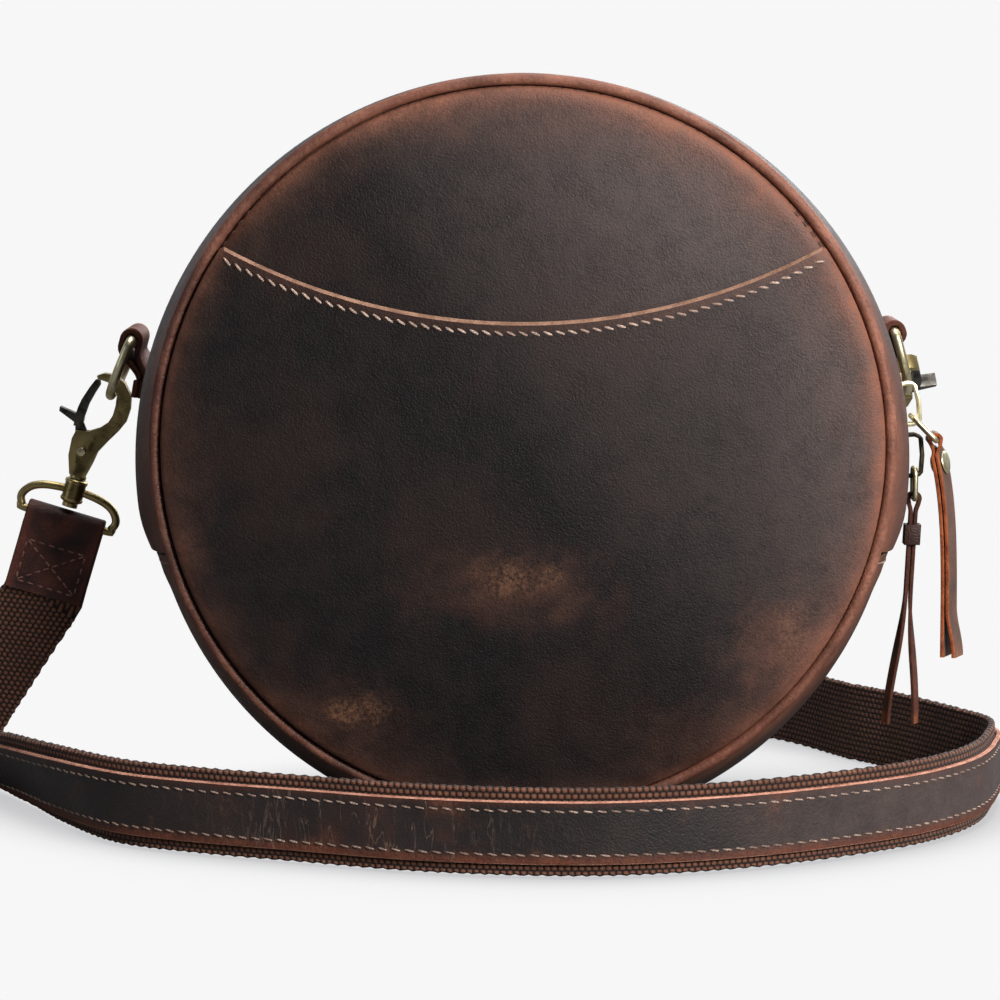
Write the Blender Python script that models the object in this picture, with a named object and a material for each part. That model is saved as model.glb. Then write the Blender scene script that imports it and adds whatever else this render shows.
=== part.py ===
"""Round leather crossbody bag with a two-slider zip, snap hooks and a webbing strap.

Metres, +Z up. X runs to the right as the front is seen, Y runs to the back,
and the origin is the middle of the flat underside.
"""
import math

import bpy
import bmesh
from mathutils import Matrix, Vector

for item in list(bpy.data.objects):
    bpy.data.objects.remove(item, do_unlink=True)

# Clearances
gap = 0.0003
running_gap = 0.0005
overrun = 0.002

# Round body
panel_radius = 0.1012
rim_thickness = 0.0032
rim_lift = 0.0026
zip_fullness = 0.0102
base_fullness = 0.0073
zip_axis_drop = 0.0067
seam_depth = 0.0359
gusset_leather = 0.0019
strip_leather = 0.0018
lip_leather = 0.0015
lip_width = 0.0075
panel_leather = 0.0018
skived_leather = 0.001
panel_rise = 0.0041
panel_crown = 0.004
panel_flat_share = 0.95
gusset_fullness = 2.6
base_blend_angle = math.radians(30)
body_segments = 36
zip_segments = 54

# Slip pocket, as shares of the panel's radius
pocket_mouth_share = 1.749
pocket_height_share = 0.3572

# Lining
lining_cloth = 0.0006
lining_turn_in = 0.0022

# Zip
zip_end_angle = math.radians(-19)
lap_angle = math.radians(-13.5)
lap_start_angle = math.radians(-10.5)
lapped_angle = math.radians(-13.1)
strip_edge = 0.0065
tape_edge = 0.0015
tape_width = 0.0135
tape_cloth = 0.0008
row_width = 0.0024
row_height = 0.0028
row_slot = 0.0014
slider_plate = 0.0011
slider_width = 0.0104
slider_length = 0.0136
slider_post = 0.0008
slider_post_length = 0.004
stop_length = 0.0028
stop_width = 0.0074
stop_post_length = 0.0011
arch_thickness = 0.0012
arch_width = 0.0024
arch_rise = 0.0048
arch_span = 0.0118
slider_clearance = 0.0012
second_slider_angle = math.radians(0.7)
right_stop_angle = math.radians(-8.3)
left_stop_angle = math.radians(188.3)

# Zip pulls
link_wire = 0.0016
link_drop = 0.0091
link_half_width = 0.0062
main_link_angle = math.radians(44.5)
second_link_drop = 0.0086
second_link_half_width = 0.0034
link_seat_share = 0.66
pull_width = 0.008
pull_leather_thickness = 0.0015
pull_length = 0.0634
pull_lean = 0.0048
pull_split_length = 0.049
pull_split = 0.0021
pull_yaw = math.radians(25)
pull_rivet_drop = 0.0069
rivet_head = 0.0066
rivet_head_height = 0.0005
rivet_back = 0.0052
rivet_shank = 0.0024
thong_width = 0.003
thong_leather = 0.0011
thong_length = 0.0661
thong_spread = 0.0035
thong_inset = 0.0033
collar_height = 0.0059
collar_leather = 0.0008
collar_drop = 0.0075

# Ring tabs and D-rings
tab_depth = 0.024
ring_tab_width = 0.023
ring_tab_leather = 0.0017
left_tab_length = 0.0155
right_tab_length = 0.0079
ring_wire = 0.0028
ring_half_width = 0.014
ring_length = 0.0185
ring_shoulder = 0.006
ring_corner = 0.0025
right_ring_angle = math.radians(18.4)
right_ring_stand = 0.0052
right_ring_turn = math.radians(-74.5)
left_ring_angle = math.radians(163.5)
left_ring_stand = 0.0096
left_ring_turn = math.radians(-113)
right_hook_share = 0.42

# Snap hooks
snap_length = 0.0366
hook_thickness = 0.0044
trigger_thickness = 0.004
trigger_root = 0.0016
trigger_slot = 0.0022
trigger_pin = 0.0016
pin_head = 0.0026
pin_head_height = 0.0005
spring_leaf = 0.0004
swivel_shaft = 0.0026
swivel_head = 0.0046
swivel_head_height = 0.0012
swivel_collar = 0.005
swivel_collar_height = 0.0008
barrel_diameter = 0.0068
barrel_height = 0.007
snap_ring_wire = 0.0024
snap_ring_half_width = 0.0148
snap_ring_drop = 0.009
hook_stand = 0.0046

# Strap
strap_width = 0.024
strap_webbing_thickness = 0.002
strap_leather_width = 0.017
strap_leather_thickness = 0.0015
strap_tab_leather = 0.0016
strap_tab_width = 0.0235
strap_tab_length = 0.0235
strap_reach_share = 1.68


# Shared geometry
panel_axis_height = panel_radius + rim_thickness + rim_lift
zip_axis_height = panel_axis_height - zip_axis_drop
zip_radius = panel_radius + zip_fullness
base_radius = panel_radius + base_fullness
pocket_mouth_radius = pocket_mouth_share * panel_radius
pocket_mouth_height = panel_axis_height + pocket_height_share * panel_radius
strap_reach = strap_reach_share * panel_radius
panel_edge_depth = seam_depth + panel_rise
main_slider_angle = second_slider_angle + (slider_length + slider_clearance) / zip_radius
axis_rise = zip_axis_drop
rim_radius = panel_radius + gap + rim_thickness / 2
rim_depth = seam_depth + gap + rim_thickness / 2
gusset_edge_radius = panel_radius + rim_thickness - gap
tape_top = strip_leather + gap
tape_bottom = tape_top + tape_cloth
row_middle = tape_top + tape_cloth / 2
lap_drop = gusset_leather + 2 * gap
ring_radius = ring_wire / 2
link_radius = link_wire / 2
link_seat = arch_rise - arch_thickness - running_gap - link_radius


def smooth(share):
    share = min(max(share, 0), 1)
    return share * share * (3 - 2 * share)


def mix(first, last, share):
    return first + (last - first) * share


def material(name, colour, roughness, metallic):
    result = bpy.data.materials.new(name)
    result.use_nodes = True
    shader = result.node_tree.nodes["Principled BSDF"]
    shader.inputs["Base Color"].default_value = (*colour, 1)
    shader.inputs["Roughness"].default_value = roughness
    shader.inputs["Metallic"].default_value = metallic
    result.diffuse_color = (*colour, 1)
    return result


dark_leather = material("dark_leather", (0.026, 0.018, 0.015), 0.5, 0)
edge_leather = material("edge_leather", (0.13, 0.045, 0.025), 0.55, 0)
pull_hide = material("pull_leather", (0.06, 0.035, 0.026), 0.6, 0)
webbing = material("webbing", (0.07, 0.033, 0.02), 0.8, 0)
zip_cloth = material("zip_cloth", (0.02, 0.016, 0.014), 0.85, 0)
lining_fabric = material("lining_fabric", (0.1, 0.075, 0.055), 0.8, 0)
pale_brass = material("pale_brass", (0.55, 0.46, 0.28), 0.32, 1)
antique_brass = material("antique_brass", (0.25, 0.19, 0.09), 0.38, 1)
spring_steel = material("spring_steel", (0.3, 0.3, 0.31), 0.35, 1)


def finish(name, mesh, look, place=None):
    """Closes the normals, shades the mesh and puts it in the scene."""
    body = bmesh.new()
    body.from_mesh(mesh)
    bmesh.ops.recalc_face_normals(body, faces=body.faces)
    body.to_mesh(mesh)
    body.free()
    mesh.shade_smooth()
    mesh.set_sharp_from_angle(angle=math.radians(35))
    mesh.materials.append(look)
    result = bpy.data.objects.new(name, mesh)
    bpy.context.collection.objects.link(result)
    if place is not None:
        result.matrix_world = place
    return result


def loft(name, rings, look, closed=False, place=None, splits=None):
    """Skins a list of equal rings, with flat ends unless it closes on itself.

    splits says for each column which way its faces are cut into triangles.
    """
    count = len(rings[0])
    points = [point for ring in rings for point in ring]
    faces = []
    for row in range(len(rings) if closed else len(rings) - 1):
        this_row = row * count
        next_row = (row + 1) % len(rings) * count
        for column in range(count):
            after = (column + 1) % count
            corners = [this_row + column, this_row + after, next_row + after, next_row + column]
            if splits is None:
                faces.append(tuple(corners))
                continue
            if splits[column]:
                corners = corners[1:] + corners[:1]
            faces.append(tuple(corners[:3]))
            faces.append((corners[0], corners[2], corners[3]))
    if not closed:
        faces.append(tuple(range(count)))
        faces.append(tuple(range(len(points) - count, len(points))))
    mesh = bpy.data.meshes.new(name)
    mesh.from_pydata(points, [], faces)
    return finish(name, mesh, look, place)


def disc(name, rings, centre_height, look):
    """A round plate from (radius, front depth, back depth) rings; the first has no radius."""
    front_centre = Vector((0, rings[0][1], centre_height))
    back_centre = Vector((0, rings[0][2], centre_height))
    points = [front_centre, back_centre]
    loops = [(radius, front) for radius, front, back in rings[1:]]
    loops += [(radius, back) for radius, front, back in reversed(rings[1:])]
    for radius, depth in loops:
        for step in range(body_segments):
            turn = math.tau * step / body_segments
            points.append(Vector((radius * math.cos(turn), depth, centre_height + radius * math.sin(turn))))
    faces = []
    for row in range(len(loops) - 1):
        for step in range(body_segments):
            after = (step + 1) % body_segments
            low = 2 + row * body_segments
            high = low + body_segments
            faces.append((low + step, low + after, high + after, high + step))
    last = 2 + (len(loops) - 1) * body_segments
    for step in range(body_segments):
        after = (step + 1) % body_segments
        faces.append((0, 2 + after, 2 + step))
        faces.append((1, last + step, last + after))
    mesh = bpy.data.meshes.new(name)
    mesh.from_pydata(points, [], faces)
    return finish(name, mesh, look)


def tube(name, points, flat, radius, look, sides=8, closed=False, place=None):
    """A round wire along a path that lies in one plane, whose normal is flat."""
    rings = []
    for index, point in enumerate(points):
        if closed:
            ahead, behind = points[(index + 1) % len(points)], points[index - 1]
        else:
            ahead, behind = points[min(index + 1, len(points) - 1)], points[max(index - 1, 0)]
        side = (ahead - behind).normalized().cross(flat)
        ring = []
        for step in range(sides):
            turn = math.tau * (step + 0.5) / sides
            ring.append(point + radius * (math.cos(turn) * side + math.sin(turn) * flat))
        rings.append(ring)
    return loft(name, rings, look, closed, place)


def ribbon(name, centres, broads, width, thickness, look, offset=0, place=None):
    """A flat band: each section has its middle and the direction of its width."""
    rings = []
    for index, centre in enumerate(centres):
        ahead = centres[min(index + 1, len(centres) - 1)]
        behind = centres[max(index - 1, 0)]
        along = (ahead - behind).normalized()
        broad = (broads[index] - broads[index].dot(along) * along).normalized()
        face = along.cross(broad)
        outer = centre + (offset + thickness / 2) * face
        inner = centre + (offset - thickness / 2) * face
        half = width / 2 * broad
        rings.append([outer + half, outer - half, inner - half, inner + half])
    return loft(name, rings, look, False, place, splits=(False, False, True, True))


def prism(name, outline, low, high, look, place=None):
    """An outline in X and Z, drawn out along Y from low to high."""
    rings = [[Vector((x, depth, z)) for x, z in outline] for depth in (low, high)]
    return loft(name, rings, look, False, place)


def turned(name, profile, axis_start, axis, look, sides=16, place=None):
    """A solid of revolution from (distance along the axis, radius) pairs."""
    side = axis.orthogonal().normalized()
    other = axis.cross(side)
    rings = []
    for distance, radius in profile:
        ring = []
        for step in range(sides):
            turn = math.tau * step / sides
            ring.append(axis_start + distance * axis + radius * (math.cos(turn) * side + math.sin(turn) * other))
        rings.append(ring)
    return loft(name, rings, look, False, place)


def combine(target, other, operation):
    """Unites or cuts with another solid, which stays behind as a hidden guide."""
    step = target.modifiers.new(operation.lower() + "_" + other.name, "BOOLEAN")
    step.operation = operation
    step.solver = "EXACT"
    step.object = other
    other.hide_render = True
    other.display_type = "WIRE"


def spline(points, steps):
    """Points of a smooth curve through the given ones, with a count of steps for each stretch."""
    result = []
    for index, count in enumerate(steps):
        before = points[max(index - 1, 0)]
        start, end = points[index], points[index + 1]
        beyond = points[min(index + 2, len(points) - 1)]
        for step in range(count):
            t = step / count
            result.append(0.5 * (2 * start + (end - before) * t
                                 + (2 * before - 5 * start + 4 * end - beyond) * t * t
                                 + (3 * start - before - 3 * end + beyond) * t * t * t))
    result.append(points[-1].copy())
    return result


# Round body: every shell is a section swept about the zip's axis
def seam(angle, radius):
    """Distance from the zip's axis to a circle about the panels' axis."""
    return axis_rise * math.sin(angle) + math.sqrt(radius ** 2 - (axis_rise * math.cos(angle)) ** 2)


def rise_angle(angle):
    """The same angle as seen on the right-hand side, from straight down to straight up."""
    return math.atan2(math.sin(angle), abs(math.cos(angle)))


def skin(angle, depth):
    """Outer radius of the gusset about the zip's axis."""
    edge = seam(angle, gusset_edge_radius)
    middle = mix(zip_radius, seam(angle, base_radius), smooth((lap_angle - rise_angle(angle)) / base_blend_angle))
    full = 1 - abs(depth / seam_depth) ** gusset_fullness
    radius = mix(edge, middle, max(full, 0))
    if math.sin(angle) < 0:
        radius = min(radius, zip_axis_height / -math.sin(angle))
    return radius


def polar(angle, radius, depth):
    return Vector((radius * math.cos(angle), depth, zip_axis_height + radius * math.sin(angle)))


def lap(angle):
    """Share by which the zip strips have dipped under the ends of the base."""
    return smooth((lap_start_angle - rise_angle(angle)) / (lap_start_angle - lapped_angle))


step_angle = math.tau / zip_segments
upper_angles = [step_angle * step for step in range(-1, zip_segments // 2 + 2)]
lap_shares = (0.0, 0.35, 0.65, 0.85)
lap_angles = [mix(lap_start_angle, lap_angle, share) for share in lap_shares]
lap_angles += [lap_angle, mix(lap_angle, zip_end_angle, 0.5), zip_end_angle]
zip_angles = sorted(lap_angles + upper_angles + [math.pi - angle for angle in lap_angles])
tape_end_angle = mix(lap_angle, zip_end_angle, 0.9)
tape_angles = [max(min(angle, math.pi - tape_end_angle), tape_end_angle) for angle in zip_angles]
base_steps = 24
lap_half_angle = mix(lap_angle, zip_end_angle, 0.5)
base_angles = [mix(zip_end_angle, -math.pi - zip_end_angle, step / base_steps) for step in range(base_steps + 1)]
base_angles = [lap_angle, lap_half_angle] + base_angles + [-math.pi - lap_half_angle, -math.pi - lap_angle]
lining_end_angle = zip_end_angle - math.radians(1)
lining_angles = [angle for angle in base_angles
                 if -math.pi - lining_end_angle < angle < lining_end_angle]
lining_angles = [lining_end_angle] + lining_angles + [-math.pi - lining_end_angle]

outer_shares = (-1.0, -0.94, -0.82, -0.5, 0.0, 0.5, 0.82, 0.94, 1.0)
inner_edge = seam_depth - lip_leather
cloth_edge = inner_edge - lining_cloth - 2 * gap


def base_section(angle):
    outer = [(skin(angle, share * seam_depth), share * seam_depth) for share in outer_shares]
    inner = []
    for share in reversed(outer_shares):
        depth = share * inner_edge
        inner.append((skin(angle, depth) - gusset_leather, depth))
    foot = seam(angle, gusset_edge_radius - lip_width)
    return outer + [(foot, seam_depth), (foot, inner_edge)] + inner + [(foot, -inner_edge), (foot, -seam_depth)]


base_rings = [[polar(angle, radius, depth) for radius, depth in base_section(angle)] for angle in base_angles]
loft("base_gusset", base_rings, dark_leather)

strip_shares = (0.0, 0.4, 0.7, 0.88, 1.0)
tuck = lip_leather + lining_cloth + 2 * gap


def strip_section(angle):
    """Leather beside the zip, with a lip that folds in behind the panel."""
    dip = lap(angle)
    drop = dip * lap_drop
    edge = seam_depth - dip * tuck
    inside = edge - lip_leather
    outer = []
    inner = []
    for share in strip_shares:
        depth = mix(strip_edge, edge, share)
        outer.append((skin(angle, depth) - drop, depth))
        depth = mix(strip_edge, inside, share)
        inner.append((skin(angle, depth) - drop - strip_leather, depth))
    long_foot = seam(angle, gusset_edge_radius - lip_width)
    short_foot = inner[-1][0] - lining_cloth
    foot = mix(long_foot, short_foot, min(1, 5 * dip))
    return outer + [(foot, edge), (foot, inside)] + list(reversed(inner))


def tape_section(angle):
    drop = lap(angle) * lap_drop
    near, far = tape_edge, tape_edge + tape_width
    return [(skin(angle, near) - drop - tape_top, near), (skin(angle, far) - drop - tape_top, far),
            (skin(angle, far) - drop - tape_bottom, far), (skin(angle, near) - drop - tape_bottom, near)]


row_start = row_slot / 2
row_end = row_start + row_width
groove = tape_cloth / 2 + gap


def row_section(angle):
    """A row of teeth in section: a channel that grips the edge of the tape."""
    middle = skin(angle, 0) - lap(angle) * lap_drop - row_middle
    back = tape_edge - gap
    return [(middle + row_height / 2, row_start), (middle + row_height / 2, row_end),
            (middle + groove, row_end), (middle + groove, back),
            (middle - groove, back), (middle - groove, row_end),
            (middle - row_height / 2, row_end), (middle - row_height / 2, row_start)]


def zip_lining_section(angle):
    drop = lap(angle) * lap_drop
    near = tape_edge + tape_width + gap
    far = cloth_edge - lap(angle) * (lip_leather + gap)
    top, bottom = strip_leather + gap, strip_leather + gap + lining_cloth
    result = [(skin(angle, near) - drop - top, near)]
    for share in (0.5, 1.0):
        depth = mix(near, far, share)
        result.append((skin(angle, depth) - drop - top, depth))
    for share in (1.0, 0.5, 0.0):
        depth = mix(near, far, share)
        result.append((skin(angle, depth) - drop - bottom, depth))
    return result


for suffix, side in (("front", -1), ("back", 1)):
    for name, angles, section, look in (
            ("zip_strip_", zip_angles, strip_section, dark_leather),
            ("zip_tape_", tape_angles, tape_section, zip_cloth),
            ("zip_teeth_", tape_angles, row_section, antique_brass),
            ("lining_zip_", tape_angles, zip_lining_section, lining_fabric)):
        shell = [[polar(angle, radius, side * depth) for radius, depth in section(angle)] for angle in angles]
        loft(name + suffix, shell, look)


def base_lining_section(angle):
    edge = cloth_edge
    top, bottom = gusset_leather + 2 * gap, gusset_leather + 2 * gap + lining_cloth
    shares = (-1.0, -0.8, -0.45, 0.0, 0.45, 0.8, 1.0)
    outer = [(skin(angle, share * edge) - top, share * edge) for share in shares]
    inner = [(skin(angle, share * edge) - bottom, share * edge) for share in reversed(shares)]
    return outer + inner


lining_rings = [[polar(angle, radius, depth) for radius, depth in base_lining_section(angle)]
                for angle in lining_angles]
loft("lining_base", lining_rings, lining_fabric)

# Panels, pocket, rims and their linings
panel_shares = (0.0, 0.5, 0.8, panel_flat_share)
skived_back = rim_depth - rim_thickness / 4
skived_front = skived_back + skived_leather


def panel_face(share):
    """Depth of the panel's outer face at a share of its radius."""
    return panel_edge_depth + panel_crown * (1 - share ** 2)


def panel_rings(side, lift):
    rings = []
    for share in panel_shares:
        face = panel_face(share) + lift
        rings.append((share * panel_radius, side * face, side * (face - panel_leather)))
    rings.append((panel_radius, side * (skived_front + lift), side * (skived_back + lift)))
    return rings


disc("front_panel", panel_rings(-1, 0), panel_axis_height, dark_leather)
disc("back_panel", panel_rings(1, 0), panel_axis_height, dark_leather)
pocket = disc("front_pocket", panel_rings(-1, panel_leather + gap), panel_axis_height, dark_leather)

pocket_depth = panel_edge_depth + panel_crown + 2 * panel_leather
mouth = turned("pocket_mouth", [(0, pocket_mouth_radius), (pocket_depth + overrun, pocket_mouth_radius)],
               Vector((0, -pocket_depth - overrun, pocket_mouth_height + pocket_mouth_radius)),
               Vector((0, 1, 0)), dark_leather, sides=96)
combine(pocket, mouth, "DIFFERENCE")

lining_radius = gusset_edge_radius - lip_width - gap
lining_edge = inner_edge - gap
lining_top = lining_edge + lip_leather


def lining_disc_rings(side):
    """Cloth that lies on the panel's back and turns in over the lips of the gusset."""
    outer_radius = lining_radius + lining_turn_in
    rings = []
    for share in (0.0, 0.6, 0.9):
        face = panel_face(share * (lining_radius / panel_radius)) - panel_leather - gap
        rings.append((share * lining_radius, side * face, side * (face - lining_cloth)))
    rings.append((lining_radius, side * lining_edge, side * (lining_edge - lining_cloth)))
    rings.append((outer_radius, side * lining_edge, side * (lining_edge - lining_cloth)))
    return rings


disc("lining_front", lining_disc_rings(-1), panel_axis_height, lining_fabric)
disc("lining_back", lining_disc_rings(1), panel_axis_height, lining_fabric)


def circle(radius, depth, centre_height, count):
    result = []
    for step in range(count):
        turn = math.tau * step / count
        result.append(Vector((radius * math.cos(turn), depth, centre_height + radius * math.sin(turn))))
    return result


for name, side in (("front_rim", -1), ("back_rim", 1)):
    path = circle(rim_radius, side * rim_depth, panel_axis_height, body_segments)
    tube(name, path, Vector((0, 1, 0)), rim_thickness / 2, edge_leather, closed=True)


# Sliders and end stops clamp both rows of teeth with a plate above and one below
def clamp(name, length, width, post_length, look, place):
    """I-shaped clamp, drawn with its middle at angle zero."""
    rail_top = zip_radius - row_middle + row_height / 2
    rail_bottom = rail_top - row_height
    half_angle = length / 2 / zip_radius
    post_angle = post_length / 2 / zip_radius
    levels = {"": (rail_top + gap, rail_top + gap + slider_plate),
              "_foot": (rail_bottom - gap - slider_plate, rail_bottom - gap)}
    plates = []
    for suffix, (low, high) in levels.items():
        rings = []
        for share in (-1.0, -0.5, 0.0, 0.5, 1.0):
            turn = share * half_angle
            slim = width / 2 * (1 - 0.2 * abs(share) ** 3)
            rings.append([hinge_point(turn, radius, depth)
                          for radius, depth in ((low, -slim), (low, slim), (high, slim), (high, -slim))])
        plates.append(loft(name + suffix, rings, look, place=place))
    low = levels["_foot"][1] - slider_plate / 2
    high = levels[""][0] + slider_plate / 2
    half = slider_post / 2
    rings = [[hinge_point(share * post_angle, radius, depth)
              for radius, depth in ((low, -half), (low, half), (high, half), (high, -half))]
             for share in (-1.0, 0.0, 1.0)]
    post = loft(name + "_post", rings, look, place=place)
    combine(plates[0], post, "UNION")
    combine(plates[0], plates[1], "UNION")
    return plates[0]


def hinge_point(angle, radius, depth):
    """A point about the zip's axis, in the coordinates of a piece whose origin is on that axis."""
    return Vector((radius * math.cos(angle), depth, radius * math.sin(angle)))


def zip_place(angle):
    return Matrix.Translation((0, 0, zip_axis_height)) @ Matrix.Rotation(-angle, 4, "Y")


def slider(name, angle, look):
    place = zip_place(angle)
    body = clamp(name, slider_length, slider_width, slider_post_length, look, place)
    foot = zip_radius - row_middle + row_height / 2 + gap + slider_plate / 2
    top = zip_radius + arch_rise - arch_thickness / 2
    half = arch_span / 2 / zip_radius
    corner = arch_thickness / zip_radius
    path = [(-half, foot), (-half, mix(foot, top, 0.6)), (-half + corner / 2, mix(foot, top, 0.88)),
            (-half + corner, top), (0, top + arch_thickness / 4), (half - corner, top),
            (half - corner / 2, mix(foot, top, 0.88)), (half, mix(foot, top, 0.6)), (half, foot)]
    centres = [hinge_point(turn, radius, 0) for turn, radius in path]
    arch = ribbon(name + "_arch", centres, [Vector((0, 1, 0))] * len(centres), arch_width, arch_thickness,
                  look, place=place)
    combine(body, arch, "UNION")
    return body


slider("main_slider", main_slider_angle, pale_brass)
slider("second_slider", second_slider_angle, antique_brass)
for name, angle in (("zip_stop_right", right_stop_angle), ("zip_stop_left", left_stop_angle)):
    clamp(name, stop_length, stop_width, stop_post_length, antique_brass, zip_place(angle))


# Links hang in the lower end of each arch
def link_pivot(angle):
    turn = angle - link_seat_share * arch_span / 2 / zip_radius
    return polar(turn, zip_radius + link_seat, 0)


def link(name, pivot, turn, drop, half_width, look):
    """A flat ring of wire; its local X runs from the pivot to the far bar."""
    corner = link_wire
    path = []
    for x, y, start in ((corner, corner - half_width, 180), (drop - corner, corner - half_width, 270),
                        (drop - corner, half_width - corner, 0), (corner, half_width - corner, 90)):
        for step in range(4):
            angle = math.radians(start + 30 * step)
            path.append(Vector((x + corner * math.cos(angle), y + corner * math.sin(angle), 0)))
    place = Matrix.Translation(pivot) @ Matrix.Rotation(-turn, 4, "Y")
    return tube(name, path, Vector((0, 0, 1)), link_radius, look, closed=True, place=place)


main_pivot = link_pivot(main_slider_angle)
second_pivot = link_pivot(second_slider_angle)
main_link_turn = main_link_angle - math.pi / 2
link("main_link", main_pivot, main_link_turn, link_drop, link_half_width, pale_brass)
link("second_link", second_pivot, -math.pi / 2, second_link_drop, second_link_half_width, pale_brass)

# Leather pull, doubled through the main link
pull_origin = main_pivot + link_drop * Vector((math.cos(main_link_turn), 0, math.sin(main_link_turn)))
wrap_radius = link_radius + gap + pull_leather_thickness / 2
layer_offset = gap / 2 + pull_leather_thickness / 2


def pull_middle(drop):
    """Middle of the doubled strip at a distance below the link's bar."""
    return Vector((pull_lean * (1 - (1 - drop / pull_length) ** 4), 0, -drop))


def pull_frame(drop):
    """Directions of the strip's width and of its outer face."""
    yaw = pull_yaw * smooth(drop / pull_rivet_drop / 0.5 - 0.3)
    along = pull_middle(drop + gap) - pull_middle(drop)
    broad = Vector((math.sin(yaw), math.cos(yaw), 0))
    return broad, along.cross(broad).normalized()


def pull_point(drop, side):
    """Middle of one leather layer, and its width direction."""
    broad, face = pull_frame(drop)
    spread = mix(wrap_radius, layer_offset, smooth(drop / (0.6 * pull_rivet_drop)))
    spread += pull_split * smooth((drop - pull_split_length) / (pull_length - pull_split_length)) * (side > 0)
    return pull_middle(drop) + side * spread * face, broad


pull_drop_shares = (1.0, 0.9, 0.84, 0.77, 0.6, 0.4, 0.25, 0.16, 0.109, 0.07, 0.035)
layers = {-1: [], 1: []}
for side in layers:
    for share in pull_drop_shares:
        layers[side].append(pull_point(share * pull_length, side))
fold_broad, fold_face = pull_frame(0)
fold_top = fold_broad.cross(fold_face)
bend = []
for step in range(9):
    turn = math.pi * (1 - step / 8)
    bend.append((wrap_radius * (math.cos(turn) * fold_face - math.sin(turn) * fold_top), fold_broad))
pull_path = layers[-1] + bend + list(reversed(layers[1]))
pull_place = Matrix.Translation(pull_origin)
pull = ribbon("pull_leather", [point for point, broad in pull_path], [broad for point, broad in pull_path],
              pull_width, pull_leather_thickness, pull_hide, place=pull_place)

rivet_face = pull_frame(pull_rivet_drop)[1]
rivet_centre = pull_origin + pull_middle(pull_rivet_drop)
rivet_half = pull_leather_thickness + gap / 2 + running_gap
rivet_profile = [(-rivet_half - rivet_head_height, rivet_back / 2), (-rivet_half, rivet_back / 2),
                 (-rivet_half, rivet_shank / 2), (rivet_half, rivet_shank / 2),
                 (rivet_half, rivet_head / 2), (rivet_half + rivet_head_height, rivet_head / 2)]
turned("pull_rivet", rivet_profile, rivet_centre, rivet_face, antique_brass)
rivet_bore = turned("pull_bore", [(-rivet_head, rivet_shank / 2 + gap), (rivet_head, rivet_shank / 2 + gap)],
                    rivet_centre, rivet_face, pull_hide)
combine(pull, rivet_bore, "DIFFERENCE")

# Doubled thong on the second link, held by a short collar
thong_origin = second_pivot + Vector((0, 0, -second_link_drop))
thong_wrap = link_radius + gap + thong_leather / 2
thong_offset = gap / 2 + thong_leather / 2
collar_middle_share = collar_drop / thong_length


def thong_point(share, side):
    closed = mix(thong_wrap, thong_offset, smooth(share / (0.55 * collar_middle_share)))
    opened = smooth((share - 0.4) / 0.6)
    drift = -thong_inset * share
    return Vector((drift + side * (closed + thong_spread * opened), 0, -share * thong_length))


thong_shares = (1.0, 0.85, 0.7, 0.55, 0.4, 0.2, 0.16, 0.12, 0.08, 0.05, 0.025)
thong_centres = [thong_point(share, -1) for share in thong_shares]
for step in range(7):
    turn = math.pi * (1 - step / 6)
    thong_centres.append(thong_wrap * Vector((math.cos(turn), 0, math.sin(turn))))
thong_centres += [thong_point(share, 1) for share in reversed(thong_shares)]
thong_place = Matrix.Translation(thong_origin)
ribbon("tassel_thong", thong_centres, [Vector((0, 1, 0))] * len(thong_centres), thong_width, thong_leather,
       pull_hide, place=thong_place)

collar_inner_x = gap / 2 + thong_leather + gap
collar_inner_y = thong_width / 2 + gap
collar_points = []
for wall in (0, collar_leather):
    x, y = collar_inner_x + wall, collar_inner_y + wall
    collar_points.append([(-x, -y), (x, -y), (x, y), (-x, y)])
collar_rings = []
for points, heights in ((collar_points[0], (-1, 1)), (collar_points[1], (1, -1))):
    for height in heights:
        level = -collar_drop - collar_height / 2 + height * collar_height / 2
        shift = -thong_inset * (-level / thong_length)
        collar_rings.append([Vector((x + shift, y, level)) for x, y in points])
loft("tassel_collar", collar_rings, pull_hide, closed=True, place=thong_place)


# Leather tabs on the gusset and the D-rings they hold
def ring_frame(angle, stand, turn):
    """Bar middle, and the direction from the bar to the far end of the ring."""
    middle = polar(angle, skin(angle, tab_depth) + stand, tab_depth)
    return middle, Vector((math.cos(turn), 0, math.sin(turn)))


def ring_path():
    """Half-round ring in local X (width) and Y (length), from corner to corner."""
    path = []
    for step in range(4):
        turn = math.radians(-90 + 30 * step)
        path.append(Vector((ring_half_width - ring_corner + ring_corner * math.cos(turn),
                            ring_corner + ring_corner * math.sin(turn), 0)))
    for step in range(13):
        turn = math.pi * step / 12
        path.append(Vector((ring_half_width * math.cos(turn),
                            ring_shoulder + (ring_length - ring_shoulder) * math.sin(turn), 0)))
    for step in range(4):
        turn = math.radians(180 + 30 * step)
        path.append(Vector((-ring_half_width + ring_corner + ring_corner * math.cos(turn),
                            ring_corner + ring_corner * math.sin(turn), 0)))
    return path


def frame_matrix(origin, x_axis, y_axis, z_axis):
    result = Matrix((x_axis, y_axis, z_axis)).transposed().to_4x4()
    result.translation = origin
    return result


tab_wrap = ring_radius + gap + ring_tab_leather / 2
tab_rest = gap + ring_tab_leather / 2


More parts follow.
